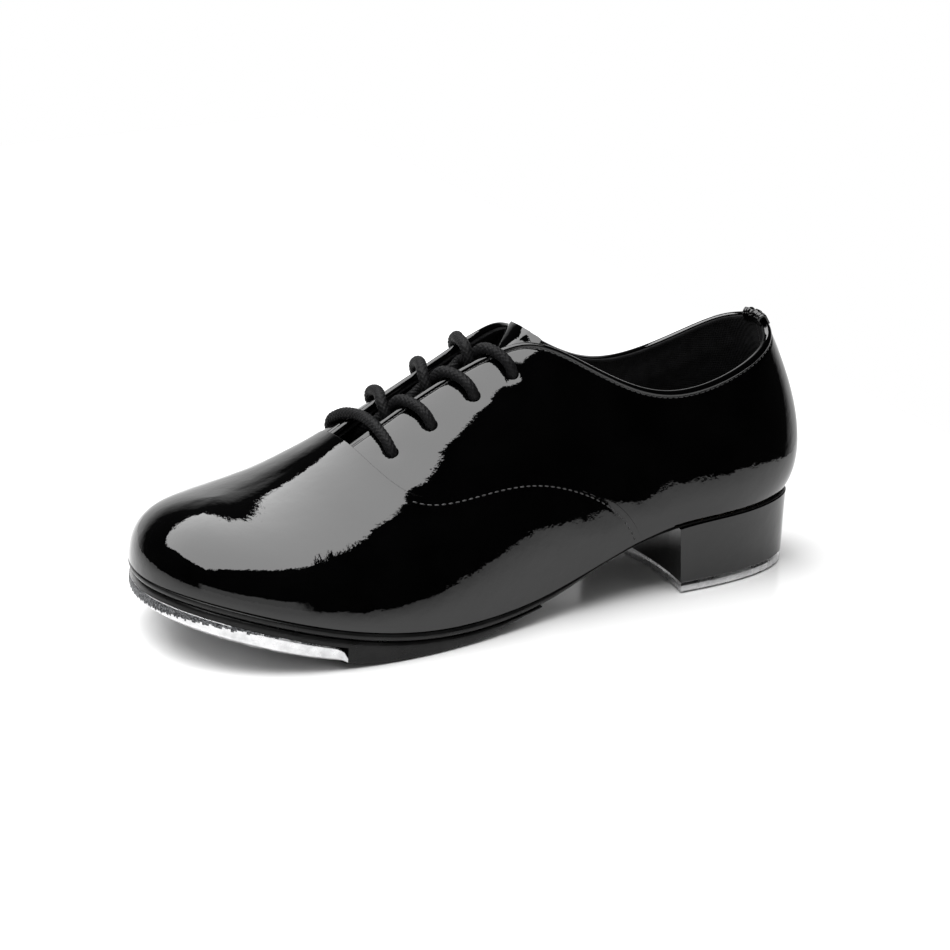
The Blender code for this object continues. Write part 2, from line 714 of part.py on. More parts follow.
def tap_top(x):
    return tread(x) + 2.0 + 2.6 * np.clip((x - 205.0) / 60.0, 0, 1)


def tap_grid(shift, past=0.0, columns=9):
    """Stations and places across the toe tap; past widens it beyond both edges of the sole."""
    v = np.linspace(0, 1, 7)
    if past:
        v = np.concatenate([[-past], v, [1 + past]])
    rear = TAP_REAR - shift + TAP_CRESCENT * np.sin(math.pi * np.clip(v, 0, 1))
    p = np.sin(np.linspace(0, math.pi / 2, columns))[:, None]
    s = rear + (TOE - rear) * p
    return s, v[None, :] + 0 * s


def half_sole_top(x):
    return midsole_bottom(x) - TOUCH


def half_sole_bottom(x):
    return np.minimum(tread(x), half_sole_top(x) - 0.7)


def make_half_sole():
    grid = sole_grid(HALF_SOLE_END, TOE, 17)
    half = slab("half_sole", grid, sole_out(grid[0]), half_sole_top, half_sole_bottom, "sole")
    s, v = tap_grid(RECESS_SHIFT, 0.12)
    out = SOLE_EDGE + TAP_PROUD + 5 * np.minimum(4 * (s - s[0]), 1)
    upper = sole_points(s, v, out, lambda x: tap_top(x) + TOUCH)
    lower = sole_points(s, v, out, lambda x: tread(x) - 6)
    recess = shell("tap_recess", [(upper, lower, False)], "sole", True)
    boolean(half, recess)
    return half


def make_toe_tap():
    s, v = tap_grid(0.0)
    upper = sole_points(s, v, SOLE_EDGE + TAP_PROUD, tap_top)
    lower = sole_points(s, v, SOLE_EDGE + TAP_PROUD, tread)
    return shell("toe_tap", [(upper, lower, False)], "tap")


def inner_slab(name, start, end, columns, inset, low, thick, slot, across=5):
    """A layer inside the upper, at a height over the feather line."""
    grid = sole_grid(start, end, columns, across)
    return slab(name, grid, -inset, lambda x: bed(x) + low + thick, lambda x: bed(x) + low, slot)


def make_insole():
    """Board, sock lining, and between board and midsole the filler pad and the steel shank."""
    board = inner_slab("insole_board", 0, TOE, 17, 7.6, 2.4, 1.8, "board")
    inner_slab("sock_lining", 0, TOE, 17, 8.0, 4.6, 1.2, "lining")
    inner_slab("filler_pad", 6.6, 11.2, 8, 12.0, 0.3, 1.4, "filler")
    s, v = np.meshgrid(np.linspace(2.4, 6.2, 9), np.linspace(0, 1, 2), indexing="ij")
    middle = sole_points(s, 0.5 + 0 * v, 0.0, bed)
    strip = middle + (v - 0.5)[..., None] * np.array((0, 15.0, 0))
    shell("shank", [(strip + (0, 0, 1.7), strip + (0, 0, 0.4), False)], "steel")
    return board


# ---------------------------------------------------------------- the heel
def heel_ring(z, inset, steps=8):
    """Plan of the heel at height z: round the back and across the hollow breast."""
    f = z / 24.0
    front = HEEL_FRONT - 0.4 + 1.8 * f
    back = 0.3 - 1.8 * f
    side = HEEL_WIDTH / 2 + 0.7 * f
    radius = HEEL_BACK_RADIUS
    turn = np.linspace(math.pi / 2, 3 * math.pi / 2, steps * 2 + 1)
    x = back + radius + (radius - inset) * np.cos(turn)
    y = (radius + (side - radius) * 0.6 - inset) * np.sin(turn)
    b = np.linspace(-1, 1, steps + 1)[:-1]
    x = np.concatenate([x, front - inset - HEEL_HOLLOW * (1 - b * b)])
    y = np.concatenate([y, (side - inset) * b])
    x = np.append(x, front - inset)
    y = np.append(y, side - inset)
    return np.stack([x, y + HEEL_OFF_CENTRE, 0 * x + z], 1)


def loft(name, rings, slot, cutter=False):
    """A solid through rings of equally many points, closed by a fan at each end."""
    n = len(rings[0])
    points = np.vstack([*rings, rings[0].mean(0)[None, :], rings[-1].mean(0)[None, :]])
    low, high = n * len(rings), n * len(rings) + 1
    faces = []
    for i in range(n):
        j = (i + 1) % n
        for k in range(len(rings) - 1):
            a, b = k * n + i, k * n + j
            faces += [(a, b, b + n), (a, b + n, a + n)]
        faces += [(low, j, i), (high, high - 2 - n + 1 + i, high - 2 - n + 1 + j)]
    return add_object(name, points, faces, slot, cutter)


def sleeve(name, outer, inner, slot):
    """A wall between two stacks of closed rings."""
    n, levels = len(outer[0]), len(outer)
    loop = np.vstack([*outer, *inner[::-1]])
    faces = []
    for k in range(2 * levels):
        for i in range(n):
            j = (i + 1) % n
            a, b = k * n + i, k * n + j
            c, d = (k + 1) % (2 * levels) * n + j, (k + 1) % (2 * levels) * n + i
            faces += [(a, b, c), (a, c, d)]
    return add_object(name, loop, faces, slot)


def make_heel():
    """The stacked block in its patent cover, the tap beneath, and the bolt that holds the heel on."""
    low, high = HEEL_TAP + TOUCH, 32.0
    levels = (low, 14.0, high)
    block = loft("heel_block", [heel_ring(z, HEEL_COVER + TOUCH) for z in levels], "heel")
    outside = [heel_ring(z, 0.0) for z in levels]
    inside = [heel_ring(z, HEEL_COVER) for z in levels]
    cover = sleeve("heel_cover", outside, inside, "patent")
    grid = sole_grid(0, 7.0, 15)
    seat = slab("heel_seat_cut", grid, SOLE_EDGE + 6, lambda x: 45.0 + 0 * x, seat_bottom, "sole", True)
    for piece in (block, cover):
        boolean(piece, seat)
    tap_levels = ((0, 0.5), (0.5, 0.0), (HEEL_TAP, 0.0))
    tap = loft("heel_tap", [heel_ring(z, inset) for z, inset in tap_levels], "tap")
    return block, tap


def seat_bottom(x):
    return midsole_bottom(x) - TOUCH


# ---------------------------------------------------------------- fasteners
SCREW_HEAD = 3.4
SCREW_SHAFT = 1.4
TOE_SCREWS = ((246.0, 4.0), (223.0, 29.0), (223.0, -26.0))
HEEL_SCREWS = ((47.0, 17.0), (47.0, -16.0), (13.2, 0.9))


def tread_under(x):
    """Height and upward normal of the tap's underside at a place along the shoe."""
    slope = float(tread(x + 1.0) - tread(x - 1.0)) / 2.0
    return float(tread(x)), np.array((-slope, 0.0, 1.0)) / math.hypot(slope, 1.0)


def tap_screw(name, place, normal, length, pieces):
    """A countersunk screw whose head sits just inside the tap's underside, and its holes."""
    clear = TOUCH
    head = (
        (0.45, SCREW_HEAD), (0.8, SCREW_HEAD), (2.4, SCREW_SHAFT), (length - 2, SCREW_SHAFT), (length, 0.3),
    )
    hole = (
        (-4.0, SCREW_HEAD + clear), (0.8 + clear, SCREW_HEAD + clear), (2.4 + clear, SCREW_SHAFT + clear),
        (length + clear, SCREW_SHAFT + clear),
    )
    screw = rod(name, place, normal, head, "steel", 12)
    cut = rod(name + "_hole", place, normal, hole, "steel", 12, True)
    for piece in pieces:
        boolean(piece, cut)
    return screw


def make_screws(midsole, half_sole, toe_tap, heel_block, heel_tap, board):
    for k, (x, y) in enumerate(TOE_SCREWS):
        z, normal = tread_under(x)
        tap_screw(f"toe_tap_screw_{k + 1}", np.array((x, y, z)), normal, 8.5, (toe_tap, half_sole, midsole))
    for k, (x, y) in enumerate(HEEL_SCREWS):
        up = np.array((0.0, 0.0, 1.0))
        tap_screw(f"heel_tap_screw_{k + 1}", np.array((x, y, 0.0)), up, 12.0, (heel_tap, heel_block))
    bolt_top = 29.6
    x, y = 29.0, 0.6
    profile = ((0, 0.6), (2.0, 2.0), (bolt_top - 8.5, 2.0), (bolt_top - 7.6, 4.2), (bolt_top - 7.0, 4.2))
    down = np.array((x, y, 7.0))
    rod("heel_bolt", down, (0, 0, 1), profile, "steel", 12)
    clear = ((0, 2.3), (bolt_top - 9.0, 2.3), (bolt_top - 8.4, 4.6), (bolt_top - 3.0, 4.6))
    cut = rod("heel_bolt_hole", down - (0, 0, TOUCH), (0, 0, 1), clear, "steel", 12, True)
    for piece in (heel_block, midsole, board):
        boolean(piece, cut)


def clear_scene():
    for obj in list(bpy.data.objects):
        bpy.data.objects.remove(obj)


def main():
    clear_scene()
    make_upper()
    make_eyelets()
    make_tongue()
    make_lace()
    midsole = make_midsole()
    half_sole = make_half_sole()
    toe_tap = make_toe_tap()
    board = make_insole()
    heel_block, heel_tap = make_heel()
    make_screws(midsole, half_sole, toe_tap, heel_block, heel_tap, board)


main()
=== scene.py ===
"""Black patent oxford tap shoe, left foot: the visible pieces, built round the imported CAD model.

Points are millimetres in the last's coordinates (X from heel to toe, Y to the outer side, Z up) until
a mesh is made; ORIGIN and MM turn them into the part frame's metres.
"""

import math

import bmesh
import bpy
import numpy as np
from mathutils import Matrix, Vector


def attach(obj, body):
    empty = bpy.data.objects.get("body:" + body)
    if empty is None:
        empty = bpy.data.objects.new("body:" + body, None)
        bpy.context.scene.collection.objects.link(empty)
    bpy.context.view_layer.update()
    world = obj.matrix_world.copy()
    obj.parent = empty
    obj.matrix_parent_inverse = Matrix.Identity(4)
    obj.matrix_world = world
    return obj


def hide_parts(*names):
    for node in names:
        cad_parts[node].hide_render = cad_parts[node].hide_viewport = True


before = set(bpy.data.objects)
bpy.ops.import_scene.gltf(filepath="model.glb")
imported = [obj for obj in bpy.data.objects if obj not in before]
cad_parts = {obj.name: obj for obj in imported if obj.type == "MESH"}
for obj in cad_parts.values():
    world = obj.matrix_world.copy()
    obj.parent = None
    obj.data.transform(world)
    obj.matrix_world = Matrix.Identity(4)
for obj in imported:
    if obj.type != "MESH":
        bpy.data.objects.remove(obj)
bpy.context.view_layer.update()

MM = 0.001
ORIGIN = np.array((129.652, 0.928, 0.0))
SHOE, TONGUE = "shoe", "tongue"
SIDES = ((1, "outer"), (-1, "inner"))
UP = np.array((0.0, 0.0, 1.0))

# ---------------------------------------------------------------- the last
# Each station: feather line's X, outer Y, inner Y and Z, crown line's X, Y and Z, then how far the
# belly lies out and up from the feather line, and the shoulder in and down from the crown line.
LAST = (
    (-2.0, 0.0, 0.0, 28.0, 14.5, 0.0, 103.0, 17.0, 17.0, 14.5, 21.0),
    (2.0, 21.0, -21.0, 28.0, 18.5, 10.0, 103.0, 12.0, 17.0, 13.5, 21.0),
    (31.0, 32.5, -31.5, 26.8, 36.0, 16.5, 103.0, 6.5, 20.0, 8.5, 21.0),
    (62.0, 33.3, -31.5, 27.0, 64.0, 18.0, 103.0, 3.5, 21.0, 6.0, 21.0),
    (90.0, 34.0, -31.0, 19.0, 98.0, 15.0, 105.0, 3.0, 27.0, 10.0, 17.0),
    (118.0, 38.5, -34.5, 9.5, 121.0, 5.0, 101.0, 3.5, 37.0, 22.0, 6.0),
    (146.0, 45.0, -41.0, 7.0, 146.0, 0.0, 88.5, 3.5, 36.0, 27.0, 2.0),
    (174.0, 50.6, -47.5, 8.0, 172.0, 0.0, 75.0, 2.5, 27.0, 26.0, 1.5),
    (202.0, 51.5, -50.0, 12.4, 198.0, 0.0, 58.0, 2.0, 24.0, 24.0, 0.5),
    (228.0, 47.5, -46.5, 19.0, 219.0, 0.0, 51.5, 1.5, 20.0, 23.0, 0.5),
    (249.0, 37.0, -32.0, 24.5, 230.0, 0.0, 50.5, 1.0, 17.0, 21.0, 1.0),
    (260.5, 23.0, -14.0, 26.8, 234.0, 0.0, 50.3, 0.5, 16.0, 19.0, 1.5),
    (264.5, 5.0, 5.0, 26.8, 235.0, 0.0, 50.1, 0.5, 15.0, 18.0, 2.0),
)
TOE = len(LAST) - 1  # station of the toe tip; station 0 is the back seam

# Places on the last are (station, height): height 0 is the feather line and 1 the crown line.
VAMP_SEAM = (
    (3.54, 0.0), (3.72, 0.145), (4.12, 0.272), (4.8, 0.36), (5.5, 0.412), (6.2, 0.438),
    (6.75, 0.475), (7.1, 0.55), (7.33, 0.68), (7.46, 0.83), (7.52, 1.0),
)
TOPLINE = (
    (0.0, 0.85), (0.7, 0.80), (1.5, 0.73), (2.3, 0.648), (2.95, 0.612), (3.5, 0.652),
    (4.1, 0.757), (4.55, 0.853), (4.9, 0.915), (5.4, 0.917), (8.2, 0.917),
)
INNER_DIP, INNER_RISE = 0.018, 0.033
EYELETS = ((7.08, 0.737), (6.49, 0.747), (5.83, 0.760), (5.23, 0.774))
INNER_EYELETS = 0.14

UPPER = 1.2
LACE_RADIUS = 2.1
LACE_HOLE = 2.45
SOLE_EDGE, SEAT_EDGE = 1.1, -0.7
TOUCH = 0.3
MIDSOLE, MIDSOLE_HEEL = 2.5, 0.6
HALF_SOLE_END = 5.15
TAP_REAR, TAP_CRESCENT, TAP_PROUD, TAP_BELOW_BED = 8.2, 0.45, 0.3, 6.0
MIDSOLE_TUCK, SOLE_TUCK = 1.3, 0.8
HEEL_FRONT, HEEL_HEIGHT, HEEL_PITCH, HEEL_OUT, HEEL_OUT_FRONT = 60.0, 27.0, 1.2, -0.5, 0.5
HEEL_HOLLOW, HEEL_TAP = 3.6, 3.75
TREAD = (
    (118.0, 7.6), (130.0, 4.9), (145.0, 1.8), (160.0, 0.2), (175.0, 0.0), (188.0, 0.0), (202.0, 1.2),
    (218.0, 3.8), (234.0, 7.6), (250.0, 11.8), (262.0, 14.8), (270.0, 16.6),
)


def guide_loops():
    """Feather, belly, shoulder and crown control points, once round the foot."""
    outer = [(r[0], r[1], r[3], r[4], r[5]) + r[6:] for r in LAST]
    inner = [(r[0], r[2], r[3], r[4], -r[5]) + r[6:] for r in LAST[-2:0:-1]]
    rows = np.array(outer + inner)
    feather = rows[:, 0:3]
    crown = rows[:, 3:6]
    along = np.roll(feather, -1, 0) - np.roll(feather, 1, 0)
    out = np.stack([-along[:, 1], along[:, 0], 0 * along[:, 0]], 1)
    out /= np.linalg.norm(out, axis=1)[:, None]
    lean = (feather - crown) * (1, 1, 0)
    lean /= np.linalg.norm(lean, axis=1)[:, None]
    belly = feather + rows[:, 6:7] * out + rows[:, 7:8] * UP
    shoulder = crown + rows[:, 8:9] * lean - rows[:, 9:10] * UP
    return feather, belly, shoulder, crown


LOOPS = guide_loops()
ROUND = len(LOOPS[0])


def along_loop(points, s):
    """A closed uniform cubic B-spline at station s."""
    k = np.floor(s).astype(int)
    f = s - k
    weights = (
        (1 - f) ** 3 / 6,
        (3 * f**3 - 6 * f**2 + 4) / 6,
        (-3 * f**3 + 3 * f**2 + 3 * f + 1) / 6,
        f**3 / 6,
    )
    return sum(w[..., None] * points[(k + j - 1) % ROUND] for j, w in enumerate(weights))


def last_point(s, t):
    s, t = np.broadcast_arrays(np.asarray(s, float), np.asarray(t, float))
    feather, belly, shoulder, crown = (along_loop(p, s) for p in LOOPS)
    t = t[..., None]
    low, high = (1 - t) ** 3 * feather, 3 * t * t * (1 - t) * shoulder + t**3 * crown
    return low + 3 * t * (1 - t) ** 2 * belly + high


def one_side_normal(s, t):
    e = 1e-3
    t = np.clip(t, 0.002, 0.985)
    ds = last_point(s + e, t) - last_point(s - e, t)
    dt = last_point(s, t + e) - last_point(s, t - e)
    n = np.cross(dt, ds)
    return n / np.linalg.norm(n, axis=-1)[..., None]


def last_normal(s, t):
    """Outward normal, turned towards the other side's normal as it nears the forepart's ridge."""
    s, t = np.broadcast_arrays(np.asarray(s, float), np.asarray(t, float))
    n = one_side_normal(s, t)
    share = 0.5 * smooth_step((t - 0.93) / 0.07) * (np.minimum(s, ROUND - s) > 5.6)
    n = n + share[..., None] * (one_side_normal(ROUND - s, t) - n)
    return n / np.linalg.norm(n, axis=-1)[..., None]


def on_last(s, t, offset, side=1):
    """Point at a station of 0 (back) to TOE, raised by offset; side is 1 outer, -1 inner."""
    s, t, offset = np.broadcast_arrays(*(np.asarray(value, float) for value in (s, t, offset)))
    s = s if side > 0 else ROUND - s
    return last_point(s, t) + offset[..., None] * last_normal(s, t)


def smooth_step(x):
    x = np.clip(x, 0, 1)
    return x * x * (3 - 2 * x)


def bump_at(x, centre, width):
    return np.exp(-(((x - centre) / width) ** 2))


def smooth_line(points, q):
    """An open B-spline through the first and last point, at q from 0 to 1."""
    p = np.array(points, float)
    p = np.vstack([2 * p[0] - p[1], p, 2 * p[-1] - p[-2]])
    q = np.clip(np.asarray(q, float), 0, 1) * (len(p) - 3)
    k = np.minimum(np.floor(q).astype(int), len(p) - 4)
    f = (q - k)[..., None]
    return (
        (1 - f) ** 3 * p[k] + (3 * f**3 - 6 * f**2 + 4) * p[k + 1]
        + (-3 * f**3 + 3 * f**2 + 3 * f + 1) * p[k + 2] + f**3 * p[k + 3]
    ) / 6


LINE_STEPS = np.linspace(0, 1, 401)
SEAM_LINE = smooth_line(VAMP_SEAM, LINE_STEPS)
TOP_CURVE = smooth_line(TOPLINE, LINE_STEPS)
TREAD_LINE = smooth_line(TREAD, LINE_STEPS)


def top_height(s, side):
    """Height of the topline, and past the instep of the flap's edge."""
    high = np.interp(s, TOP_CURVE[:, 0], TOP_CURVE[:, 1])
    if side > 0:
        return high
    rise = INNER_RISE * bump_at(s, 1.25, 0.75) * np.clip(s / 0.4, 0, 1)
    return high + rise - INNER_DIP * bump_at(s, 2.9, 1.2)


def seam_height(s):
    return np.clip(np.interp(s, SEAM_LINE[:, 0], SEAM_LINE[:, 1], left=0.0), 0.0, 1.0)


def millimetre(s, t, side):
    """How much height one millimetre up the last is, at a place."""
    e = 2e-3
    t = np.clip(t, e, 1 - e)
    step = on_last(s, t + e, 0, side) - on_last(s, t - e, 0, side)
    return 2 * e / np.linalg.norm(step, axis=-1)


# ---------------------------------------------------------------- meshes
def linked(name, data):
    made = bpy.data.objects.new(name, data)
    bpy.context.scene.collection.objects.link(made)
    return made


def bare_object(name, points, faces):
    """An object from millimetre points in the last's coordinates, with its faces turned outwards."""
    mesh = bpy.data.meshes.new(name)
    points = (np.asarray(points, float) - ORIGIN) * MM
    mesh.from_pydata(points.tolist(), [], [list(f) for f in faces])
    mesh.validate()
    work = bmesh.new()
    work.from_mesh(mesh)
    bmesh.ops.recalc_face_normals(work, faces=work.faces)
    work.to_mesh(mesh)
    work.free()
    return linked(name, mesh)


def add_mesh(name, points, faces, material, slot, replaces=(), body=SHOE):
    """One visible piece, which rides on a body."""
    piece = bare_object(name, points, faces)
    piece.data.shade_smooth()
    piece.data.materials.append(material)
    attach(piece, body)
    if replaces:
        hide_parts(*replaces)
    return piece


def quads(rows, columns, first=0, closed=False):
    """Corner indices of a grid's cells; closed joins the last column to the first."""
    i, j = np.meshgrid(np.arange(rows - 1), np.arange(columns - (0 if closed else 1)), indexing="ij")
    i, j = i.ravel() * columns + first, j.ravel()
    k = (j + 1) % columns
    return np.stack([i + j, i + k, i + columns + k, i + columns + j], 1)


def tube_faces(rings, sides, first=0):
    """Faces of a closed tube through rings of points, with its two ends."""
    start = list(range(first, first + sides))
    end = [corner + (rings - 1) * sides for corner in start]
    return quads(rings, sides, first, closed=True).tolist() + [start[::-1], end]


def merged(points, faces):
    """Which points stay when equal ones become one, and the faces less the corners that collapse."""
    _, first, index = np.unique(np.round(points, 3), axis=0, return_index=True, return_inverse=True)
    kept = []
    for face in index.reshape(-1)[np.asarray(faces)].tolist():
        corners = [c for k, c in enumerate(face) if c != face[k - 1]]
        if len(set(corners)) == len(corners) > 2:
            kept.append(corners)
    return first, kept


def shell(patches):
    """Points and faces of a closed shell. Each patch is (outer grid, inner grid, flip)."""
    faces, count = [], 0
    for grid, _, flip in patches:
        rows, columns = grid.shape[:2]
        cells = quads(rows, columns, count)
        faces.append(cells[:, ::-1] if flip else cells)
        count += rows * columns
    outer, inner = (np.vstack([patch[k].reshape(-1, 3) for patch in patches]) for k in (0, 1))
    first, kept = merged(outer, np.vstack(faces))
    held = {(f[k - 1], f[k]) for f in kept for k in range(len(f))}
    rim = sorted((a, b) for a, b in held if (b, a) not in held)
    n = len(first)
    walls = [(b, a, a + n, b + n) for a, b in rim]
    below = [[c + n for c in reversed(face)] for face in kept]
    return np.vstack([outer[first], inner[first]]), kept + below + walls


def last_shell(name, places, outer, inner, material, **how):
    """A shell on the last. places holds (side, stations, heights); outer and inner give the depths."""
    patches = []
    for side, s, t in places:
        depths = [f(s, t, side) if callable(f) else f for f in (outer, inner)]
        patches.append((on_last(s, t, depths[0], side), on_last(s, t, depths[1], side), side < 0))
    points, faces = shell(patches)
    return add_mesh(name, points, faces, material, **how)


def round_edges(piece, width, segments=3, angle=40):
    made = piece.modifiers.new("edges", "BEVEL")
    made.width = width * MM
    made.segments = segments
    made.limit_method = "ANGLE"
    made.angle_limit = math.radians(angle)
    made.harden_normals = True


def cut(piece, cutters, sharp=None):
    """Boolean differences, applied, and the cutters removed. Edges over sharp degrees stay sharp."""
    for cutter in cutters:
        made = piece.modifiers.new("cut", "BOOLEAN")
        made.operation = "DIFFERENCE"
        made.object = cutter
    graph = bpy.context.evaluated_depsgraph_get()
    graph.update()
    made = bpy.data.meshes.new_from_object(piece.evaluated_get(graph))
    piece.modifiers.clear()
    piece.data = made
    for cutter in cutters:
        bpy.data.objects.remove(cutter)
    made.shade_smooth()
    if sharp:
        made.set_sharp_from_angle(angle=math.radians(sharp))


def paint(piece, material, chosen):
    """A second material, on the polygons that chosen picks."""
    piece.data.materials.append(material)
    index = [int(chosen(polygon)) for polygon in piece.data.polygons]
    piece.data.polygons.foreach_set("material_index", np.array(index, np.int32))


# ---------------------------------------------------------------- materials
class Tree:
    """A node tree, with short calls for what the materials and the world repeat."""

    def __init__(self, tree):
        self.tree = tree

    def node(self, kind, links=(), **values):
        """A new node with these values; links holds (input, the socket it comes from)."""
        made = self.tree.nodes.new(kind)
        for key, value in values.items():
            if key in made.inputs:
                made.inputs[key].default_value = value
            else:
                setattr(made, key, value)
        for key, source in links:
            self.tree.links.new(source, made.inputs[key])
        return made

    def noise(self, scale, detail=3.0, roughness=0.5, stretch=(1, 1, 1)):
        """Noise over the object's own coordinates; scale is in waves per metre."""
        place = self.node("ShaderNodeTexCoord").outputs["Object"]
        mapping = self.node("ShaderNodeMapping", [("Vector", place)], Scale=stretch)
        made = self.node(
            "ShaderNodeTexNoise", [("Vector", mapping.outputs["Vector"])],
            Scale=scale, Detail=detail, Roughness=roughness,
        )
        return made.outputs["Fac"]

    def wave(self, direction, scale, distortion=0.0):
        place = self.node("ShaderNodeTexCoord").outputs["Object"]
        made = self.node("ShaderNodeTexWave", [("Vector", place)], Scale=scale, Distortion=distortion)
        made.bands_direction = direction
        return made.outputs["Fac"]

    def texture(self, texture):
        """A wave where it starts with a direction, else noise."""
        return self.wave(*texture) if isinstance(texture[0], str) else self.noise(*texture)

    def ramp(self, value, stops):
        """Colour by value, through stops of (position, colour)."""
        made = self.node("ShaderNodeValToRGB", [("Fac", value)])
        elements = made.color_ramp.elements
        while len(elements) < len(stops):
            elements.new(0.5)
        for element, (position, colour) in zip(elements, stops):
            element.position = position
            element.color = (*colour, 1.0)
        return made.outputs["Color"]


def grey(value):
    return (value, value, value)


def material(name, colour, shine, tint, gloss, bumps, values=(), bumped=("Normal",)):
    """A shader. shine is (roughness, metallic); tint and gloss are (texture, low, high, positions) for
    the colour and the roughness; bumps hold (texture, strength, distance)."""
    made = bpy.data.materials.new(name)
    made.use_nodes = True
    tree = Tree(made.node_tree)
    sockets = made.node_tree.nodes["Principled BSDF"].inputs
    roughness, metallic = shine
    fixed = (("Base Color", (*colour, 1.0)), ("Roughness", roughness), ("Metallic", metallic))
    for socket, value in (*fixed, *values):
        sockets[socket].default_value = value
    for socket, ramp in (("Base Color", tint), ("Roughness", gloss)):
        if ramp:
            texture, low, high, *at = ramp
            stops = zip(at or (0.3, 0.7), (low, high))
            made.node_tree.links.new(tree.ramp(tree.texture(texture), tuple(stops)), sockets[socket])
    normal = []
    for texture, strength, distance in bumps:
        links = [("Height", tree.texture(texture)), *normal]
        bump = tree.node("ShaderNodeBump", links, Strength=strength, Distance=distance)
        normal = [("Normal", bump.outputs["Normal"])]
        for socket in bumped:
            made.node_tree.links.new(bump.outputs["Normal"], sockets[socket])
    return made


# Black leather under a thick clear coat with a faint orange peel.
PATENT = material(
    "patent_leather", (0.004, 0.004, 0.0045), (0.5, 0.0),
    ((60.0, 4.0), (0.0002, 0.0002, 0.00025), (0.0007, 0.0007, 0.00075)), None,
    [((110.0, 2.0), 0.10, 0.0016), ((900.0, 2.0), 0.10, 0.00022)],
    [("Specular IOR Level", 0.0), ("Coat Weight", 1.0), ("Coat Roughness", 0.018), ("Coat IOR", 1.5)],
    ("Normal", "Coat Normal"),
)
# Black brushed textile.
CLOTH = material(
    "lining_cloth", (0.02, 0.02, 0.022), (0.92, 0.0),
    ((300.0, 5.0), (0.0018, 0.0018, 0.002), (0.0075, 0.0075, 0.008)), None,
    [(("X", 420.0, 2.0), 0.35, 0.0003), (("Z", 420.0, 2.0), 0.35, 0.0003)],
    [("Specular IOR Level", 0.15), ("Sheen Weight", 0.03), ("Sheen Roughness", 0.5)],
)
YARN = material(
    "lace_yarn", (0.004, 0.004, 0.0045), (0.5, 0.0),
    ((1500.0, 3.0), (0.0015, 0.0015, 0.0018), (0.008, 0.008, 0.0085)), None,
    [((5200.0, 2.0, 0.5, (1, 2.2, 1)), 0.5, 0.00018)],
    [("Specular IOR Level", 0.11), ("Sheen Weight", 0.008), ("Sheen Roughness", 0.4)],
)
THREAD = material(
    "thread", grey(0.01), (0.35, 0.0), ((2500.0,), grey(0.005), (0.022, 0.022, 0.023)), None,
    [(("DIAGONAL", 2600.0), 0.5, 0.0001)], [("Sheen Weight", 0.1)],
)
# Black edge ink over layered leather: satin, with faint lines along the edge.
EDGE = material(
    "sole_edge_paint", grey(0.004), (0.3, 0.0), ((90.0, 5.0), grey(0.002), grey(0.007)),
    ((140.0, 4.0), grey(0.22), grey(0.42)),
    [((700.0, 3.0, 0.5, (0.25, 0.25, 3)), 0.25, 0.0003), ((2600.0, 2.0), 0.12, 0.0001)],
    [("Specular IOR Level", 0.15), ("Coat Weight", 0.12), ("Coat Roughness", 0.12)],
)
# Scuffed black sole face.
SOLE = material(
    "sole_tread", grey(0.02), (0.6, 0.0),
    ((45.0, 6.0, 0.65), grey(0.012), (0.055, 0.052, 0.05), 0.35, 0.75),
    ((70.0, 5.0), grey(0.45), grey(0.8)), [((900.0, 5.0, 0.7), 0.4, 0.0004)],
)
# Cast aluminium, ground bright where it wears.
TAP = material(
    "tap_metal", (0.80, 0.80, 0.81), (0.25, 1.0),
    ((260.0, 5.0, 0.6), (0.50, 0.50, 0.505), (0.74, 0.74, 0.745)),
    ((160.0, 5.0), grey(0.18), grey(0.42)),
    [((1800.0, 3.0, 0.5, (0.08, 1, 1)), 0.25, 0.00015), ((520.0, 4.0), 0.2, 0.0003)],
)
# The tap's rough, as-cast wall: grey and granular.
CAST = material(
    "tap_casting", (0.25, 0.25, 0.26), (0.55, 1.0),
    ((1500.0, 4.0, 0.7), (0.012, 0.012, 0.013), (0.26, 0.265, 0.275), 0.40, 0.68),
    ((900.0, 4.0), grey(0.35), grey(0.75)), [((1700.0, 4.0, 0.7), 0.8, 0.0004)],
)
STEEL = material(
    "screw_steel", grey(0.5), (0.3, 1.0), ((900.0, 4.0), grey(0.35), (0.68, 0.68, 0.67)),
    ((500.0, 4.0), grey(0.2), grey(0.45)), [((3000.0, 3.0), 0.15, 0.0001)],
)
ENAMEL = material(
    "dark_enamel", grey(0.03), (0.35, 0.6), ((800.0, 3.0), grey(0.02), grey(0.06)), None,
    [((2200.0,), 0.1, 0.0001)],
)
BOARD = material(
    "fibre_board", (0.5, 0.38, 0.24), (0.85, 0.0),
    ((420.0, 6.0), (0.40, 0.29, 0.18), (0.60, 0.47, 0.31)), None,
    [((1500.0, 4.0, 0.5, (0.3, 1, 1)), 0.4, 0.0003)],
)
CORK = material(
    "cork", (0.4, 0.28, 0.17), (0.95, 0.0),
    ((700.0, 5.0, 0.7), (0.20, 0.12, 0.06), (0.52, 0.38, 0.24)), None, [((900.0, 4.0), 0.6, 0.0005)],
)
STIFF = material(
    "stiffener_sheet", (0.6, 0.56, 0.46), (0.8, 0.0),
    ((500.0, 4.0), (0.52, 0.48, 0.39), (0.68, 0.64, 0.54)), None, [((1800.0, 3.0), 0.3, 0.0002)],
)

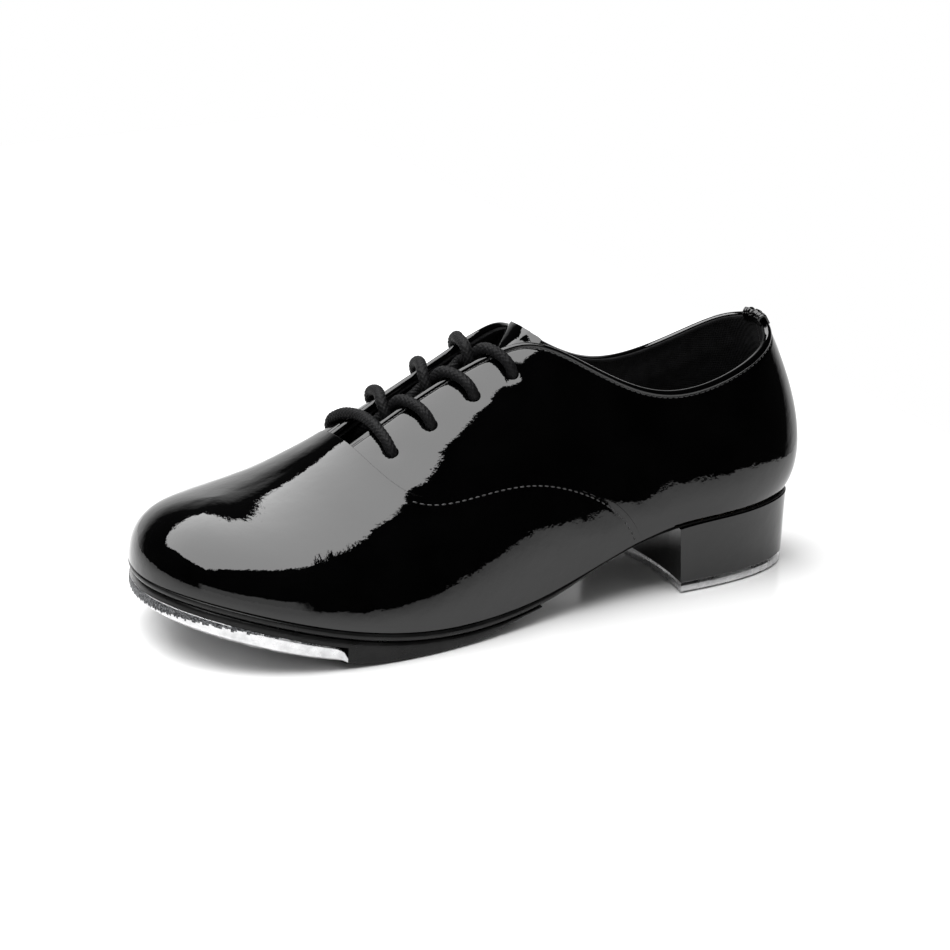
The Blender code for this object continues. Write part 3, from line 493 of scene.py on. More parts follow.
# ---------------------------------------------------------------- the upper
BASE = -1.25  # outer face of the quarters
BACK_FACE = -2.95  # their inner face
BEAD = 1.35  # radius of the rolled edge along the topline and the flaps
BEAD_SINK = 0.9  # its centre lies this far under the quarters' face
STITCH_LINE = 2.75  # below the topline
SEAM_STITCH = 2.3  # ahead of the vamp's edge
STITCH_END = 7.0  # station where the visible stitches stop
SEAM_GROOVE, TOP_GROOVE = (0.14, 0.5), (0.34, 0.42)  # depth and half width under the stitches
SKIVE, SEAM_RISE, SEAM_BLEND = 0.55, 0.55, 17.0
DIMPLE_DEPTH, DIMPLE_RADIUS = 0.5, 3.4
SEAM_POINTS = {side: on_last(SEAM_LINE[:, 0], SEAM_LINE[:, 1], 0.0, side) for side, _ in SIDES}
# How far below the topline the quarters' rows of points lie near it.
EDGE_STEPS = np.array(
    (0, 0.12, 0.3, 0.55, 0.9, 1.3, 1.7, 2.05, 2.3, 2.5, 2.7, 2.9, 3.15, 3.5, 4.0, 4.7, 5.6, 6.8, 8.4)
)


def seam_distance(points, side):
    """Distance of each point from the vamp's edge, in millimetres."""
    flat = points.reshape(-1, 3)
    found = np.empty(len(flat))
    for k in range(0, len(flat), 4000):
        gap = flat[k : k + 4000, None] - SEAM_POINTS[side][None]
        found[k : k + 4000] = np.sqrt((gap**2).sum(-1)).min(1)
    return found.reshape(points.shape[:-1])


def vamp_places(start, rows, columns, t_low=0.0):
    """Both halves of the forepart, from the line start to the toe, meeting on the ridge."""
    q = np.linspace(0, 1, rows)
    line = smooth_line(start, q)
    line[:, 1] = np.maximum(line[:, 1], t_low)
    at_toe = t_low + (1 - t_low) * q**1.15
    p = np.concatenate([np.linspace(0, 0.08, 14)[:-1], np.linspace(0.08, 1, columns - 13)])[None, :]
    s = line[:, :1] + (TOE - line[:, :1]) * p
    t = line[:, 1:] + (at_toe[:, None] - line[:, 1:]) * p
    return [(side, s, t) for side, _ in SIDES]


def vamp_depth(s, t, side):
    """The vamp is skived thin to its edge over the quarters, with a row of stitches sunk along it."""
    away = seam_distance(on_last(s, t, 0.0, side), side)
    skived = -SKIVE * (1 - smooth_step(away / SEAM_BLEND))
    depth, width = SEAM_GROOVE
    return skived - depth * bump_at(away, SEAM_STITCH, width) * stitched(s)


def stitched(s):
    """1 along the sewn part of the vamp's edge, fading to 0 where it is cemented."""
    return smooth_step((STITCH_END - s) / 0.4)


def seam_rise(s, t, side):
    """The quarters swell to meet the vamp's edge, and dip under it."""
    away = seam_distance(on_last(s, t, 0.0, side), side)
    outside = 1 - smooth_step(away / SEAM_BLEND)
    inside = 1 - smooth_step((away - 1.2) / 2.3)
    return SEAM_RISE * np.where(t < seam_height(s), inside, outside)


def eyelets(side):
    """Places of one row of lace holes."""
    shift = INNER_EYELETS if side < 0 else 0.0
    return [(s + shift, t) for s, t in EYELETS]


def eyelet_dimple(points, side):
    """How far the lace pulls the leather in round its holes."""
    found = np.zeros(points.shape[:-1])
    for s, t in eyelets(side):
        gap = np.linalg.norm(points - on_last(s, t, 0.0, side), axis=-1)
        found += DIMPLE_DEPTH * bump_at(gap, 0.0, DIMPLE_RADIUS)
    return found


def quarter_depth(s, t, side):
    """The quarters' face, which rolls over in a bead at the topline behind a row of stitches."""
    down = (top_height(s, side) - t) / millimetre(s, t, side)
    across = np.clip(down - BEAD, -BEAD, BEAD)
    bead = BASE - BEAD_SINK + np.sqrt(BEAD**2 - across**2)
    depth, width = TOP_GROOVE
    face = BASE + seam_rise(s, t, side) - depth * bump_at(down, STITCH_LINE, width)
    face = np.where(down < 2 * BEAD, np.maximum(bead, face - 9 * (down < 2.2)), face)
    return face - eyelet_dimple(on_last(s, t, 0.0, side), side)


def quarter_stations(end, count):
    return np.concatenate([np.linspace(0, 0.6, 14)[:-1], np.linspace(0.6, end, count)])


def quarter_place(side):
    s = quarter_stations(7.95, 150)[None, :]
    high = top_height(s, side)
    mm = millimetre(s, high - 0.02, side)
    low = np.minimum(np.maximum(seam_height(s) - 0.055, 0.0), high - 9 * mm)
    near = high - EDGE_STEPS[:, None] * mm
    rest = near[-1] + (low - near[-1]) * np.linspace(0, 1, 46)[1:, None]
    return side, s, np.vstack([near, rest])


def make_vamp():
    places = vamp_places(VAMP_SEAM, 96, 150)
    vamp = last_shell("vamp_skin", places, vamp_depth, -UPPER, PATENT, slot="patent", replaces=["vamp"])
    round_edges(vamp, 0.28, 2)


def make_quarter(side, word):
    quarter = last_shell(
        f"quarter_{word}_skin", [quarter_place(side)], quarter_depth, BACK_FACE, PATENT,
        slot="patent", replaces=[f"quarter_{word}"],
    )
    cut(quarter, [hole_cutter(s, t, side, LACE_HOLE, 28) for s, t in eyelets(side)])
    round_edges(quarter, 0.22, 2, 50)


def lines_on(s, t, depth, side):
    """Points at a depth on the last, and the last's normals there."""
    base = on_last(s, t, 0.0, side)
    normal = on_last(s, t, 1.0, side) - base
    return base + np.asarray(depth)[..., None] * normal, normal


def hole_cutter(s, t, side, radius, steps):
    profile = ((-9.0, radius), (5.0, radius))
    return bare_object("hole", *turned(profile, *lines_on(s, t, 0.0, side), steps))


def basis(axis):
    axis = np.array(axis, float) / np.linalg.norm(axis)
    across = np.cross(axis, (0, 1, 0) if abs(axis[1]) < 0.9 else (1, 0, 0))
    across /= np.linalg.norm(across)
    return axis, across, np.cross(axis, across)


def turned(profile, start, axis, steps):
    """Points and faces of a turned solid: profile holds (distance along the axis, radius)."""
    axis, one, two = basis(axis)
    turn = np.linspace(0, 2 * math.pi, steps, endpoint=False)
    ring = np.cos(turn)[:, None] * one + np.sin(turn)[:, None] * two
    points = np.vstack([np.asarray(start, float) + z * axis + r * ring for z, r in profile])
    return points, tube_faces(len(profile), steps)


def make_back_strip():
    """A strip over the back seam, thinned towards its edges."""
    half = 0.16
    s = np.linspace(-half, half, 25)[:, None]
    t = np.linspace(0.0, float(top_height(0.0, 1)) - 0.004, 70)[None, :]
    raised = BASE + 0.18 + 0.62 * smooth_step((half - np.abs(s)) / 0.035)
    points, normals = last_point(s, t), one_side_normal(s, t)
    outer, inner = points + raised[..., None] * normals, points + (BASE + 0.08) * normals
    solid = shell([(outer, inner, False)])
    strip = add_mesh("back_strip_skin", *solid, PATENT, slot="patent", replaces=["back_strip"])
    round_edges(strip, 0.15, 2)


def make_back_tab():
    """The end of the back strip, turned over the topline and pinched into folds."""
    turn, s = np.meshgrid(np.linspace(-0.15, 1.15, 26), np.linspace(-0.5, 0.5, 61))
    t = np.full_like(s, float(top_height(0.0, 1)))
    point, normal = last_point(s, t), one_side_normal(s, t)
    up = last_point(s, t + 0.01) - last_point(s, t - 0.01)
    up /= np.linalg.norm(up, axis=-1)[..., None]
    arc = math.pi * np.clip(turn, 0, 1)
    fold = 0.34 * np.sin(19 * s + 2.2 * turn) + 0.14 * np.sin(43 * s + 1.5 * turn)
    radius = 1.65 + fold * np.sin(arc)
    centre = point - 2.3 * normal - 1.35 * up
    drop = (np.clip(turn - 1, 0, 1) + np.clip(-turn, 0, 1))[..., None] * 18 * -up
    outwards = np.cos(arc)[..., None] * normal * 1.15 + np.sin(arc)[..., None] * up
    outer, inner = (centre + r[..., None] * outwards + drop for r in (radius, radius - 0.7))
    tab = add_mesh("back_tab", *shell([(outer, inner, False)]), PATENT, slot="patent")
    round_edges(tab, 0.2, 2)


# ---------------------------------------------------------------- stitches
def stitch_row(name, points, normals, gap, length, radius):
    """A row of thread stitches, each a short bow that dips into the leather at its ends."""
    steps = np.linalg.norm(np.diff(points, axis=0), axis=1)
    along = np.concatenate([[0], np.cumsum(steps)])
    sides, rings = 8, 7
    turn = np.linspace(0, 2 * math.pi, sides, endpoint=False)
    lift = np.cos(np.linspace(-0.5, 0.5, rings) * math.pi)
    fat = radius * (0.35 + 0.65 * lift**0.6)
    all_points, all_faces = [], []
    for k in range(int(along[-1] / gap)):
        middle = (k + 0.5) * gap
        where = middle + length * np.linspace(-0.5, 0.5, rings)
        line = np.stack([np.interp(where, along, points[:, a]) for a in range(3)], 1)
        up = np.array([np.interp(middle, along, normals[:, a]) for a in range(3)])
        up /= np.linalg.norm(up)
        way = line[-1] - line[0]
        cross = np.cross(way / np.linalg.norm(way), up)
        line = line + (lift * 0.9 * radius - 0.55 * radius)[:, None] * up
        ring = np.cos(turn)[None, :, None] * cross + np.sin(turn)[None, :, None] * up
        all_points.append((line[:, None] + fat[:, None, None] * ring).reshape(-1, 3))
        all_faces += tube_faces(rings, sides, k * rings * sides)
    add_mesh(name, np.vstack(all_points), all_faces, THREAD, slot="lace")


def seam_stitch_places(side):
    """Places a little ahead of the vamp's edge, along its sewn part."""
    line = smooth_line(VAMP_SEAM, np.linspace(0.02, 1.0, 500))
    line = line[line[:, 0] < STITCH_END]
    s, t = line.T
    step = 1e-3
    base, normal = lines_on(s, t, 0 * s, side)
    tangent, upward = on_last(s + step, t, 0, side) - base, on_last(s, t + step, 0, side) - base
    inward = np.cross(np.gradient(base, axis=0), normal)
    inward /= np.linalg.norm(inward, axis=1)[:, None]
    toe_side = np.sign((inward * (tangent * 0.6 - upward)).sum(1))[:, None]
    shift = SEAM_STITCH * inward * toe_side
    moves = [(shift * way).sum(1) / (way**2).sum(1) * step for way in (tangent, upward)]
    return (line + np.stack(moves, 1)).T


def make_stitches():
    for side, word in SIDES:
        s = np.linspace(0.17, 7.62, 700)
        top = top_height(s, side)
        t = top - STITCH_LINE * millimetre(s, top, side)
        row = lines_on(s, t, BASE - 0.26, side)
        stitch_row(f"topline_stitches_{word}", *row, 2.3, 1.8, 0.24)
        s, t = seam_stitch_places(side)
        row = lines_on(s, t, vamp_depth(s, t, side) + 0.04, side)
        stitch_row(f"vamp_stitches_{word}", *row, 2.7, 1.9, 0.27)
        t = np.linspace(0.02, float(top_height(0.0, 1)) - 0.02, 300)
        row = lines_on(0.105, t, BASE + 0.78, side)
        stitch_row(f"strip_stitches_{word}", *row, 2.5, 1.75, 0.25)


# ---------------------------------------------------------------- linings
LINING_SEAM = (
    (5.2, 0.0), (5.35, 0.2), (5.8, 0.34), (6.5, 0.44), (7.1, 0.54), (7.6, 0.7), (7.9, 0.88), (8.0, 1.0),
)
FACING_START = 4.45
LINING = 0.8
VAMP_LINING, QUARTER_LINING, FACING = -4.15, -3.15, -3.25  # depths of the outer faces
COUNTER_BULGE = 1.5


def facing_edge(s, side):
    """Height of the facing's lower edge, where the lining takes over."""
    return np.minimum(0.655, top_height(s, side) - 0.19)


def counter_bulge(s, t, side):
    """How much the lining gives way to the heel counter."""
    below = smooth_step((facing_edge(s, side) + 0.16 - t) / 0.14)
    return COUNTER_BULGE * smooth_step((3.4 - s) / 0.6) * below


def lining_face(s, t, side):
    under_vamp = smooth_step((seam_height(s) + 0.14 - t) / 0.08) * smooth_step((s - 3.2) / 0.3)
    return QUARTER_LINING - counter_bulge(s, t, side) - 0.8 * under_vamp


def make_linings():
    last_shell(
        "vamp_lining_cloth", vamp_places(LINING_SEAM, 40, 50, 0.01), VAMP_LINING, VAMP_LINING - LINING, CLOTH,
        slot="lining", replaces=["vamp_lining"],
    )
    line = smooth_line(LINING_SEAM, LINE_STEPS) - (0.08, 0.0)
    for side, word in SIDES:
        s = quarter_stations(6.91, 90)[None, :]
        low = np.clip(np.interp(s, line[:, 0], line[:, 1], left=0.01) + 0.015 * (s > 5.1), 0.01, 1)
        split = smooth_step((s - FACING_START + 0.2) / 0.15)
        high = (top_height(s, side) - 0.006) * (1 - split) + (facing_edge(s, side) - 0.012) * split
        high = np.maximum(high, low + 0.03)
        t = low + (high - low) * np.linspace(0, 1, 50)[:, None]
        last_shell(
            f"quarter_lining_{word}_cloth", [(side, s, t)], lining_face,
            lambda *place: lining_face(*place) - LINING, CLOTH,
            slot="lining", replaces=[f"quarter_lining_{word}"],
        )
        s = np.linspace(FACING_START, 7.6, 70)[None, :]
        high = top_height(s, side) - 0.008
        low = facing_edge(s, side) + 0.15 * np.clip((s - 7.3) / 0.4, 0, 1) ** 2
        t = low + (high - low) * np.linspace(0, 1, 24)[:, None]
        facing = last_shell(
            f"facing_{word}_cloth", [(side, s, t)], FACING, FACING - 1.0, CLOTH,
            slot="lining", replaces=[f"facing_{word}"],
        )
        cut(facing, [hole_cutter(a, b, side, LACE_HOLE + 0.5, 20) for a, b in eyelets(side)])
        round_edges(facing, 0.15, 1, 50)


def make_stiffeners():
    cap_line = ((9.3, 0.0), (9.2, 0.3), (9.1, 0.6), (9.0, 0.8), (8.95, 1.0))
    last_shell(
        "toe_puff_sheet", vamp_places(cap_line, 24, 30, 0.01), -2.1, -2.9, STIFF,
        slot="stiffener", replaces=["toe_puff"],
    )
    s = np.linspace(0, 2.8, 36)[None, :]
    places = []
    for side, _ in SIDES:
        high = facing_edge(s, side) * (1 - 0.25 * (s / 3.0) ** 3)
        places.append((side, s, 0.01 + (high - 0.01) * np.linspace(0, 1, 24)[:, None]))
    last_shell(
        "heel_counter_sheet", places, -3.15, -4.2, STIFF, slot="stiffener", replaces=["heel_counter"]
    )


# ---------------------------------------------------------------- the tongue
TONGUE_DEPTH, TONGUE_TOP_DEPTH = 10.6, 3.8


def tongue_offset(s):
    return -TONGUE_DEPTH + (TONGUE_DEPTH - TONGUE_TOP_DEPTH) * smooth_step((5.35 - s) / 0.85)


def tongue_grid(side, extra, start, end, trim):
    """One face of half the tongue: creased near its rounded top, with a ridge where it joins the vamp."""
    across = np.linspace(0, 1, 34)[None, :]
    first = start + 0.10 * (1 - smooth_step(across / 0.4))
    s = first + (end - first) * np.linspace(0, 1, 90)[:, None]
    reach = 0.35 - trim - 0.15 * np.clip((s - 6.0) / 2.0, 0, 1)
    reach = reach * np.clip((s - start + 0.35) / 0.6, 0, 1) ** 0.5
    t = 1 - reach * across
    crease = 0.22 * np.sin(15.0 * s + 5.0 * across) * smooth_step((5.8 - s) / 0.8) * (1 - across**2)
    ridge = 7.2 * smooth_step((s - 7.22) / 0.4) * (1 - smooth_step((reach * across - 0.05) / 0.06))
    offset = tongue_offset(s) + extra + crease + ridge
    points = on_last(s, t, offset, side)
    points[:, 0] = (points[:, 0] + on_last(s, t, offset, -side)[:, 0]) / 2
    return points


def make_tongue():
    layers = (
        ("tongue_skin", 0.0, UPPER, (4.6, 8.05, 0.0), PATENT, "patent", "tongue", 0.35),
        ("tongue_cloth", -UPPER - 0.1, 1.0, (4.62, 8.0, 0.006), CLOTH, "lining", "tongue_lining", 0.25),
    )
    for name, top, thick, extent, material, slot, node, bevel in layers:
        patches = []
        for side, _ in SIDES:
            outer, inner = (tongue_grid(side, depth, *extent) for depth in (top, top - thick))
            patches.append((outer, inner, side < 0))
        piece = add_mesh(name, *shell(patches), material, slot=slot, replaces=[node], body=TONGUE)
        round_edges(piece, bevel, 3)


# ---------------------------------------------------------------- the lace
# A strand's way from one hole to the next: (across the gap, share of the way, height on the strands
# that start on the outer side, height on those that start on the inner side).
STRAND = (
    (0.12, 0.17, -7.5, -7.5),
    (0.078, 0.25, -7.0, -7.2),
    (0.053, 0.34, -5.6, -6.6),
    (0.037, 0.40, -2.4, -6.0),
    (0.0, 0.50, 0.4, -5.0),
    (-0.066, 0.70, 1.0, 0.0),
    (-0.10, 0.78, 1.15, 0.95),
    (-0.18, 0.91, 1.25, 1.25),
    (-0.235, 0.97, 0.8, 0.8),
)
STRAND_REACH = 0.27  # where the holes lie on the scale across the gap
HOLE_DEPTHS = (-1.4, -4.5, -8.0)
# (across the gap, height) of the bar over the first holes, and (station, across, height) of the tails
BAR = ((0.225, 0.7), (0.18, 1.1), (0.10, 1.2), (0.0, 0.3))
TAIL = (
    (5.28, 0.33, -8.0), (5.49, 0.43, -7.8), (5.84, 0.51, -8.1), (6.19, 0.57, -8.5), (6.59, 0.63, -8.7),
)


def gap_point(station, across, offset):
    """A point over the gap: across is positive on the outer side and 0 on the middle line."""
    return on_last(station, 1 - abs(across), offset, 1 if across >= 0 else -1)


def bar_station(across):
    """The bar runs slantwise from the outer row's first hole to the inner row's."""
    reach = 1 - EYELETS[0][1]
    return EYELETS[0][0] + INNER_EYELETS * (reach - across) / (2 * reach)


def half_lace(side):
    """From the bar's middle down through the first hole, and on to the end of the lace."""
    points = [gap_point(bar_station(side * w), side * w, lift) for w, lift in BAR[2::-1]]
    for k in range(len(EYELETS)):
        s, t = eyelets(side)[k]
        reach = 1 - t
        points += [gap_point(s, side * reach, depth) for depth in HOLE_DEPTHS]
        if k + 1 == len(EYELETS):
            break
        ahead = eyelets(-side)[k + 1]
        for w, part, above, below in STRAND:
            lift = above if side > 0 else below
            across = side * w * (reach if w > 0 else 1 - ahead[1]) / STRAND_REACH
            points.append(gap_point(s + part * (ahead[0] - s), across, lift))
        side = -side
    shift = eyelets(side)[0][0] - EYELETS[0][0]
    return points + [gap_point(s + shift, side * w, lift) for s, w, lift in TAIL]


def between(u, start, end, a, b):
    """The value at u on a straight line from a at start to b at end."""
    return ((end - u) * a + (u - start) * b) / (end - start)


def catmull_rom(points, spacing):
    """Evenly spaced points along a smooth curve through the given ones."""
    p = np.array(points, float)
    p = np.vstack([2 * p[0] - p[1], p, 2 * p[-1] - p[-2]])
    dense = []
    for k in range(1, len(p) - 2):
        knots = np.cumsum([0, *(np.linalg.norm(np.diff(p[k - 1 : k + 3], axis=0), axis=1) ** 0.5)])
        u = np.linspace(knots[1], knots[2], 24, endpoint=False)[:, None]
        a = [between(u, knots[j], knots[j + 1], p[k - 1 + j], p[k + j]) for j in range(3)]
        b = [between(u, knots[j], knots[j + 2], a[j], a[j + 1]) for j in range(2)]
        dense.append(between(u, knots[1], knots[2], *b))
    dense = np.vstack([*dense, p[-2]])
    run = np.concatenate([[0], np.cumsum(np.linalg.norm(np.diff(dense, axis=0), axis=1))])
    at = np.linspace(0, run[-1], int(run[-1] / spacing) + 1)
    return np.stack([np.interp(at, run, dense[:, a]) for a in range(3)], 1)


def swept_frames(line):
    """Two crosswise directions along a line, without twist."""
    way = np.gradient(line, axis=0)
    way /= np.linalg.norm(way, axis=1)[:, None]
    one = np.zeros_like(line)
    one[0] = basis(way[0])[1]
    for k in range(1, len(line)):
        v = one[k - 1] - (one[k - 1] @ way[k]) * way[k]
        one[k] = v / np.linalg.norm(v)
    return one, np.cross(way, one)


CARRIERS = 7  # braid strands in each direction round the lace
BRAID_PITCH = 12.0  # one turn of a strand round the lace
BRAID_RELIEF = 0.5


def braid_height(along, turn):
    """0 in the gaps between strands and 1 on top of one, for a two-over braid."""
    a = CARRIERS * turn / (2 * math.pi) + CARRIERS * along / BRAID_PITCH
    b = CARRIERS * turn / (2 * math.pi) - CARRIERS * along / BRAID_PITCH
    cells = (np.floor(a) + np.floor(b)) % 2 < 1
    fa, fb = a - np.floor(a) - 0.5, b - np.floor(b) - 0.5
    across = np.where(cells, fa, fb)
    run = np.where(cells, fb, fa)
    return np.sqrt(np.clip(1 - (1.9 * across) ** 2, 0.0, 1)) * (1 - 1.1 * run**2)


def make_lace():
    middle = gap_point(bar_station(0.0), 0.0, BAR[3][1]) * (1, 0, 1)
    spacing, sides = 0.22, 48
    line = catmull_rom(half_lace(1)[::-1] + [middle] + half_lace(-1), spacing)
    soft = np.ones(9) / 9
    for axis in range(3):
        line[4:-4, axis] = np.convolve(line[:, axis], soft, "valid")
    one, two = swept_frames(line)
    turn = np.linspace(0, 2 * math.pi, sides, endpoint=False)[None, :]
    along = (np.arange(len(line)) * spacing)[:, None]
    radius = LACE_RADIUS - BRAID_RELIEF + BRAID_RELIEF * braid_height(along, turn)
    ring = np.cos(turn)[..., None] * one[:, None] + np.sin(turn)[..., None] * two[:, None]
    points = (line[:, None] + radius[..., None] * ring).reshape(-1, 3)
    add_mesh("lace_braid", points, tube_faces(len(line), sides), YARN, slot="lace", replaces=["lace"])


# ---------------------------------------------------------------- the bottom
def sole_edge(s, side, out):
    """A point of the feather line moved out in plan."""
    s = s if side > 0 else ROUND - s
    here = last_point(s, 0.0)
    ahead = last_point(s + 0.01, 0.0) - last_point(s - 0.01, 0.0)
    normal = np.stack([-ahead[..., 1], ahead[..., 0], 0 * ahead[..., 0]], -1)
    normal /= np.linalg.norm(normal, axis=-1)[..., None]
    return here + np.asarray(out)[..., None] * normal


BED = last_point(np.linspace(0, TOE, 481), 0.0)
HALF_SOLE_LEAST, TAP_LEAST = 0.7, 2.6  # least thicknesses


def bed(x):
    return np.interp(x, BED[:, 0], BED[:, 2])


def tread(x):
    return np.maximum(np.interp(x, TREAD_LINE[:, 0], TREAD_LINE[:, 1]), 0.0)


def midsole_top(x):
    return bed(x) - TOUCH


def midsole_bottom(x):
    return midsole_top(x) - MIDSOLE_HEEL - (MIDSOLE - MIDSOLE_HEEL) * smooth_step((x - 75.0) / 45.0)


def half_sole_top(x):
    return midsole_bottom(x) - TOUCH


def half_sole_bottom(x):
    return np.minimum(tread(x), half_sole_top(x) - HALF_SOLE_LEAST)


def tap_top(x):
    return np.maximum(bed(x) - TAP_BELOW_BED, tread(x) + TAP_LEAST)


def outline(start, count):
    """Stations along the sole's edge from its rear station to the toe, close together at the ends."""
    s = start + (TOE - start) * (1 - np.cos(np.linspace(0, math.pi, count))) / 2
    if start > 0:
        s = np.linspace(start, TOE, count)
    ends = np.linspace(0, 1, 12) ** 2 * 0.6
    return np.unique(np.concatenate([s, TOE - ends, [] if start else ends]))


def toe_share(s):
    return smooth_step((s - 9.0) / 2.5)


def sole_out(s):
    """How far past the feather line the sole stands: level with the upper at the toe."""
    return SEAT_EDGE + (SOLE_EDGE - SEAT_EDGE) * np.clip((s - 4.2) / 2.0, 0, 1) - MIDSOLE_TUCK * toe_share(s)


def layered_slab(name, start, count, profile, top, bottom, tuck, node):
    """A sole layer. profile holds (share of the height from the top, how far past the sole's edge)."""
    s = outline(start, count)
    v = np.linspace(0, 1, 25)[None, :, None]

    def levelled(points, share):
        x = points[..., 0]
        points[..., 2] = top(x) * (1 - share) + bottom(x) * share
        return points

    def level(share, out):
        reach = sole_out(s) - tuck * toe_share(s) + out
        return [levelled(sole_edge(s, side, reach), share) for side in (1, -1)]

    def sheet(share, out):
        a, b = level(share, out)
        return levelled(a[:, None] + (b - a)[:, None] * v, share)

    grids = [(sheet(*profile[0]), True), (sheet(*profile[-1]), False)]
    grids += [(np.stack([level(*p)[side] for p in profile]), side == 1) for side in (0, 1)]
    if start > 0:
        grids.append((np.stack([sheet(*p)[0] for p in profile]), True))
    return add_mesh(name, *joined_grids(grids), EDGE, slot="sole", replaces=[node])


def joined_grids(grids):
    """Points and faces of grids that share their borders; each is (grid, flip)."""
    points, faces = [], []
    for grid, flip in grids:
        cells = quads(*grid.shape[:2], sum(len(p) for p in points))
        points.append(grid.reshape(-1, 3))
        faces.append(cells[:, ::-1] if flip else cells)
    points = np.vstack(points)
    first, faces = merged(points, np.vstack(faces))
    return points[first], faces


MIDSOLE_PROFILE = (
    (0.0, -1.1), (0.0, -0.65), (0.06, -0.35), (0.16, -0.12), (0.30, 0.0), (0.5, 0.02), (0.66, -0.04),
    (0.8, -0.2), (0.92, -0.45), (1.0, -0.8), (1.0, -1.2),
)
HALF_SOLE_PROFILE = (
    (0.0, -1.4), (0.0, -0.9), (0.03, -0.55), (0.09, -0.25), (0.18, -0.1), (0.4, -0.06), (0.85, -0.1),
    (0.93, -0.25), (0.98, -0.55), (1.0, -0.9), (1.0, -1.4),
)


def make_soles():
    midsole = layered_slab(
        "midsole_layer", 0, 120, MIDSOLE_PROFILE, midsole_top, midsole_bottom, 0.0, "midsole"
    )
    midsole.data.set_sharp_from_angle(angle=math.radians(50))
    half = layered_slab(
        "half_sole_layer", HALF_SOLE_END, 90, HALF_SOLE_PROFILE, half_sole_top, half_sole_bottom,
        SOLE_TUCK, "half_sole",
    )
    s, v = tap_grid(0.016, 0.12)
    out = SOLE_EDGE + TAP_PROUD + 5 * np.minimum(4 * (s - s[0]), 1)
    recess = sole_block(s, v, out, lambda x: tap_top(x) + 0.12, lambda x: tread(x) - 6)
    cut(half, [bare_object("recess", *recess)], 40)
    paint(half, SOLE, lambda polygon: polygon.normal.z < -0.8)


def sole_points(s, v, out, height):
    """Points across the sole: v is 0 on the outer edge and 1 on the inner; height(x) is absolute."""
    a, b = (sole_edge(s, side, out) for side, _ in SIDES)
    points = a + (b - a) * v[..., None]
    points[..., 2] = height(points[..., 0])
    return points


def sole_block(s, v, out, top, bottom):
    """Points and faces of a block across the sole, between two heights."""
    return shell([(sole_points(s, v, out, top), sole_points(s, v, out, bottom), False)])


def tap_grid(shift, past=0.0):
    """Stations and shares across of the toe tap's plan; past runs on over the sole's edges."""
    v = np.linspace(0, 1, 61)
    if past:
        v = np.concatenate([[-past], v, [1 + past]])
    rear = TAP_REAR - shift + TAP_CRESCENT * np.sin(math.pi * np.clip(v, 0, 1))
    s = rear + (TOE - rear) * np.sin(np.linspace(0, math.pi / 2, 110))[:, None]
    return s, v[None, :] + 0 * s


# (share of the height from the top, how far inside the tap's edge)
TAP_WALL = (
    (0.0, 1.4), (0.0, 0.5), (0.03, 0.22), (0.06, 0.08), (0.1, 0.02),
    *((k / 50, 0.0) for k in range(7, 30, 2)),
    (0.62, 0.02), (0.66, 0.08), (0.7, 0.22), (0.75, 0.6), (0.81, 1.4), (0.87, 2.4), (0.93, 3.6), (1.0, 5.2),
)
CAST_FRONT, CAST_LENGTH = 261.0, 30.0  # X where the as-cast part is tallest, and how far back it fades


def left_as_cast(polygon):
    """Whether part of the tap's wall is worn bright or still as cast, with a torn border between."""
    x, y, z = np.array(polygon.center) / MM + ORIGIN
    share = (z - float(tread(x))) / float(tap_top(x) - tread(x))
    worn = min(max((CAST_FRONT - x) / CAST_LENGTH, 0.0), 1.0) ** 0.6
    torn = 0.05 * math.sin(1.9 * y) + 0.04 * math.sin(4.3 * y + 1.0)
    return abs(polygon.normal.z) < 0.85 and share > 0.42 + 0.56 * worn + torn


def make_toe_tap():
    """The tap: a polished wall over a worn, rounded lower edge, left as cast round the toe's tip."""
    s, v = tap_grid(0.0)
    edge = sole_out(s) - SOLE_TUCK * toe_share(s) + TAP_PROUD
    end = 0.4 + 0.6 * np.sqrt(1 - (1 - np.clip((s - s[0]) / 0.2, 0, 1)) ** 2)
    levels = []
    for share, inward in TAP_WALL:
        grid = sole_points(s, v, edge - inward, tread)
        x = grid[..., 0]
        grid[..., 2] += (tap_top(x) - tread(x)) * (1 - share) * end
        levels.append(grid)
    levels = np.stack(levels)
    grids = [
        (levels[0], True), (levels[-1], False), (levels[:, 0], True), (levels[:, :, 0], False),
        (levels[:, :, -1], True),
    ]
    tap = add_mesh("toe_tap_plate", *joined_grids(grids), TAP, slot="tap", replaces=["toe_tap"])
    paint(tap, CAST, left_as_cast)
    cut(tap, [screw_seat(*place) for place in toe_screws()], 48)


def make_sock():
    s = np.linspace(0, TOE, 110)
    s = np.unique(np.concatenate([s, TOE - np.linspace(0, 1, 10) ** 2 * 0.5]))
    s, v = np.meshgrid(s, np.linspace(0, 1, 25), indexing="ij")
    inset, low, thick = 7.0, 4.6, 1.3
    solid = sole_block(s, v, 0 * s - inset, lambda x: bed(x) + low + thick, lambda x: bed(x) + low)
    sock = add_mesh("sock_lining_cloth", *solid, CLOTH, slot="lining", replaces=["sock_lining"])
    round_edges(sock, 0.3, 2)


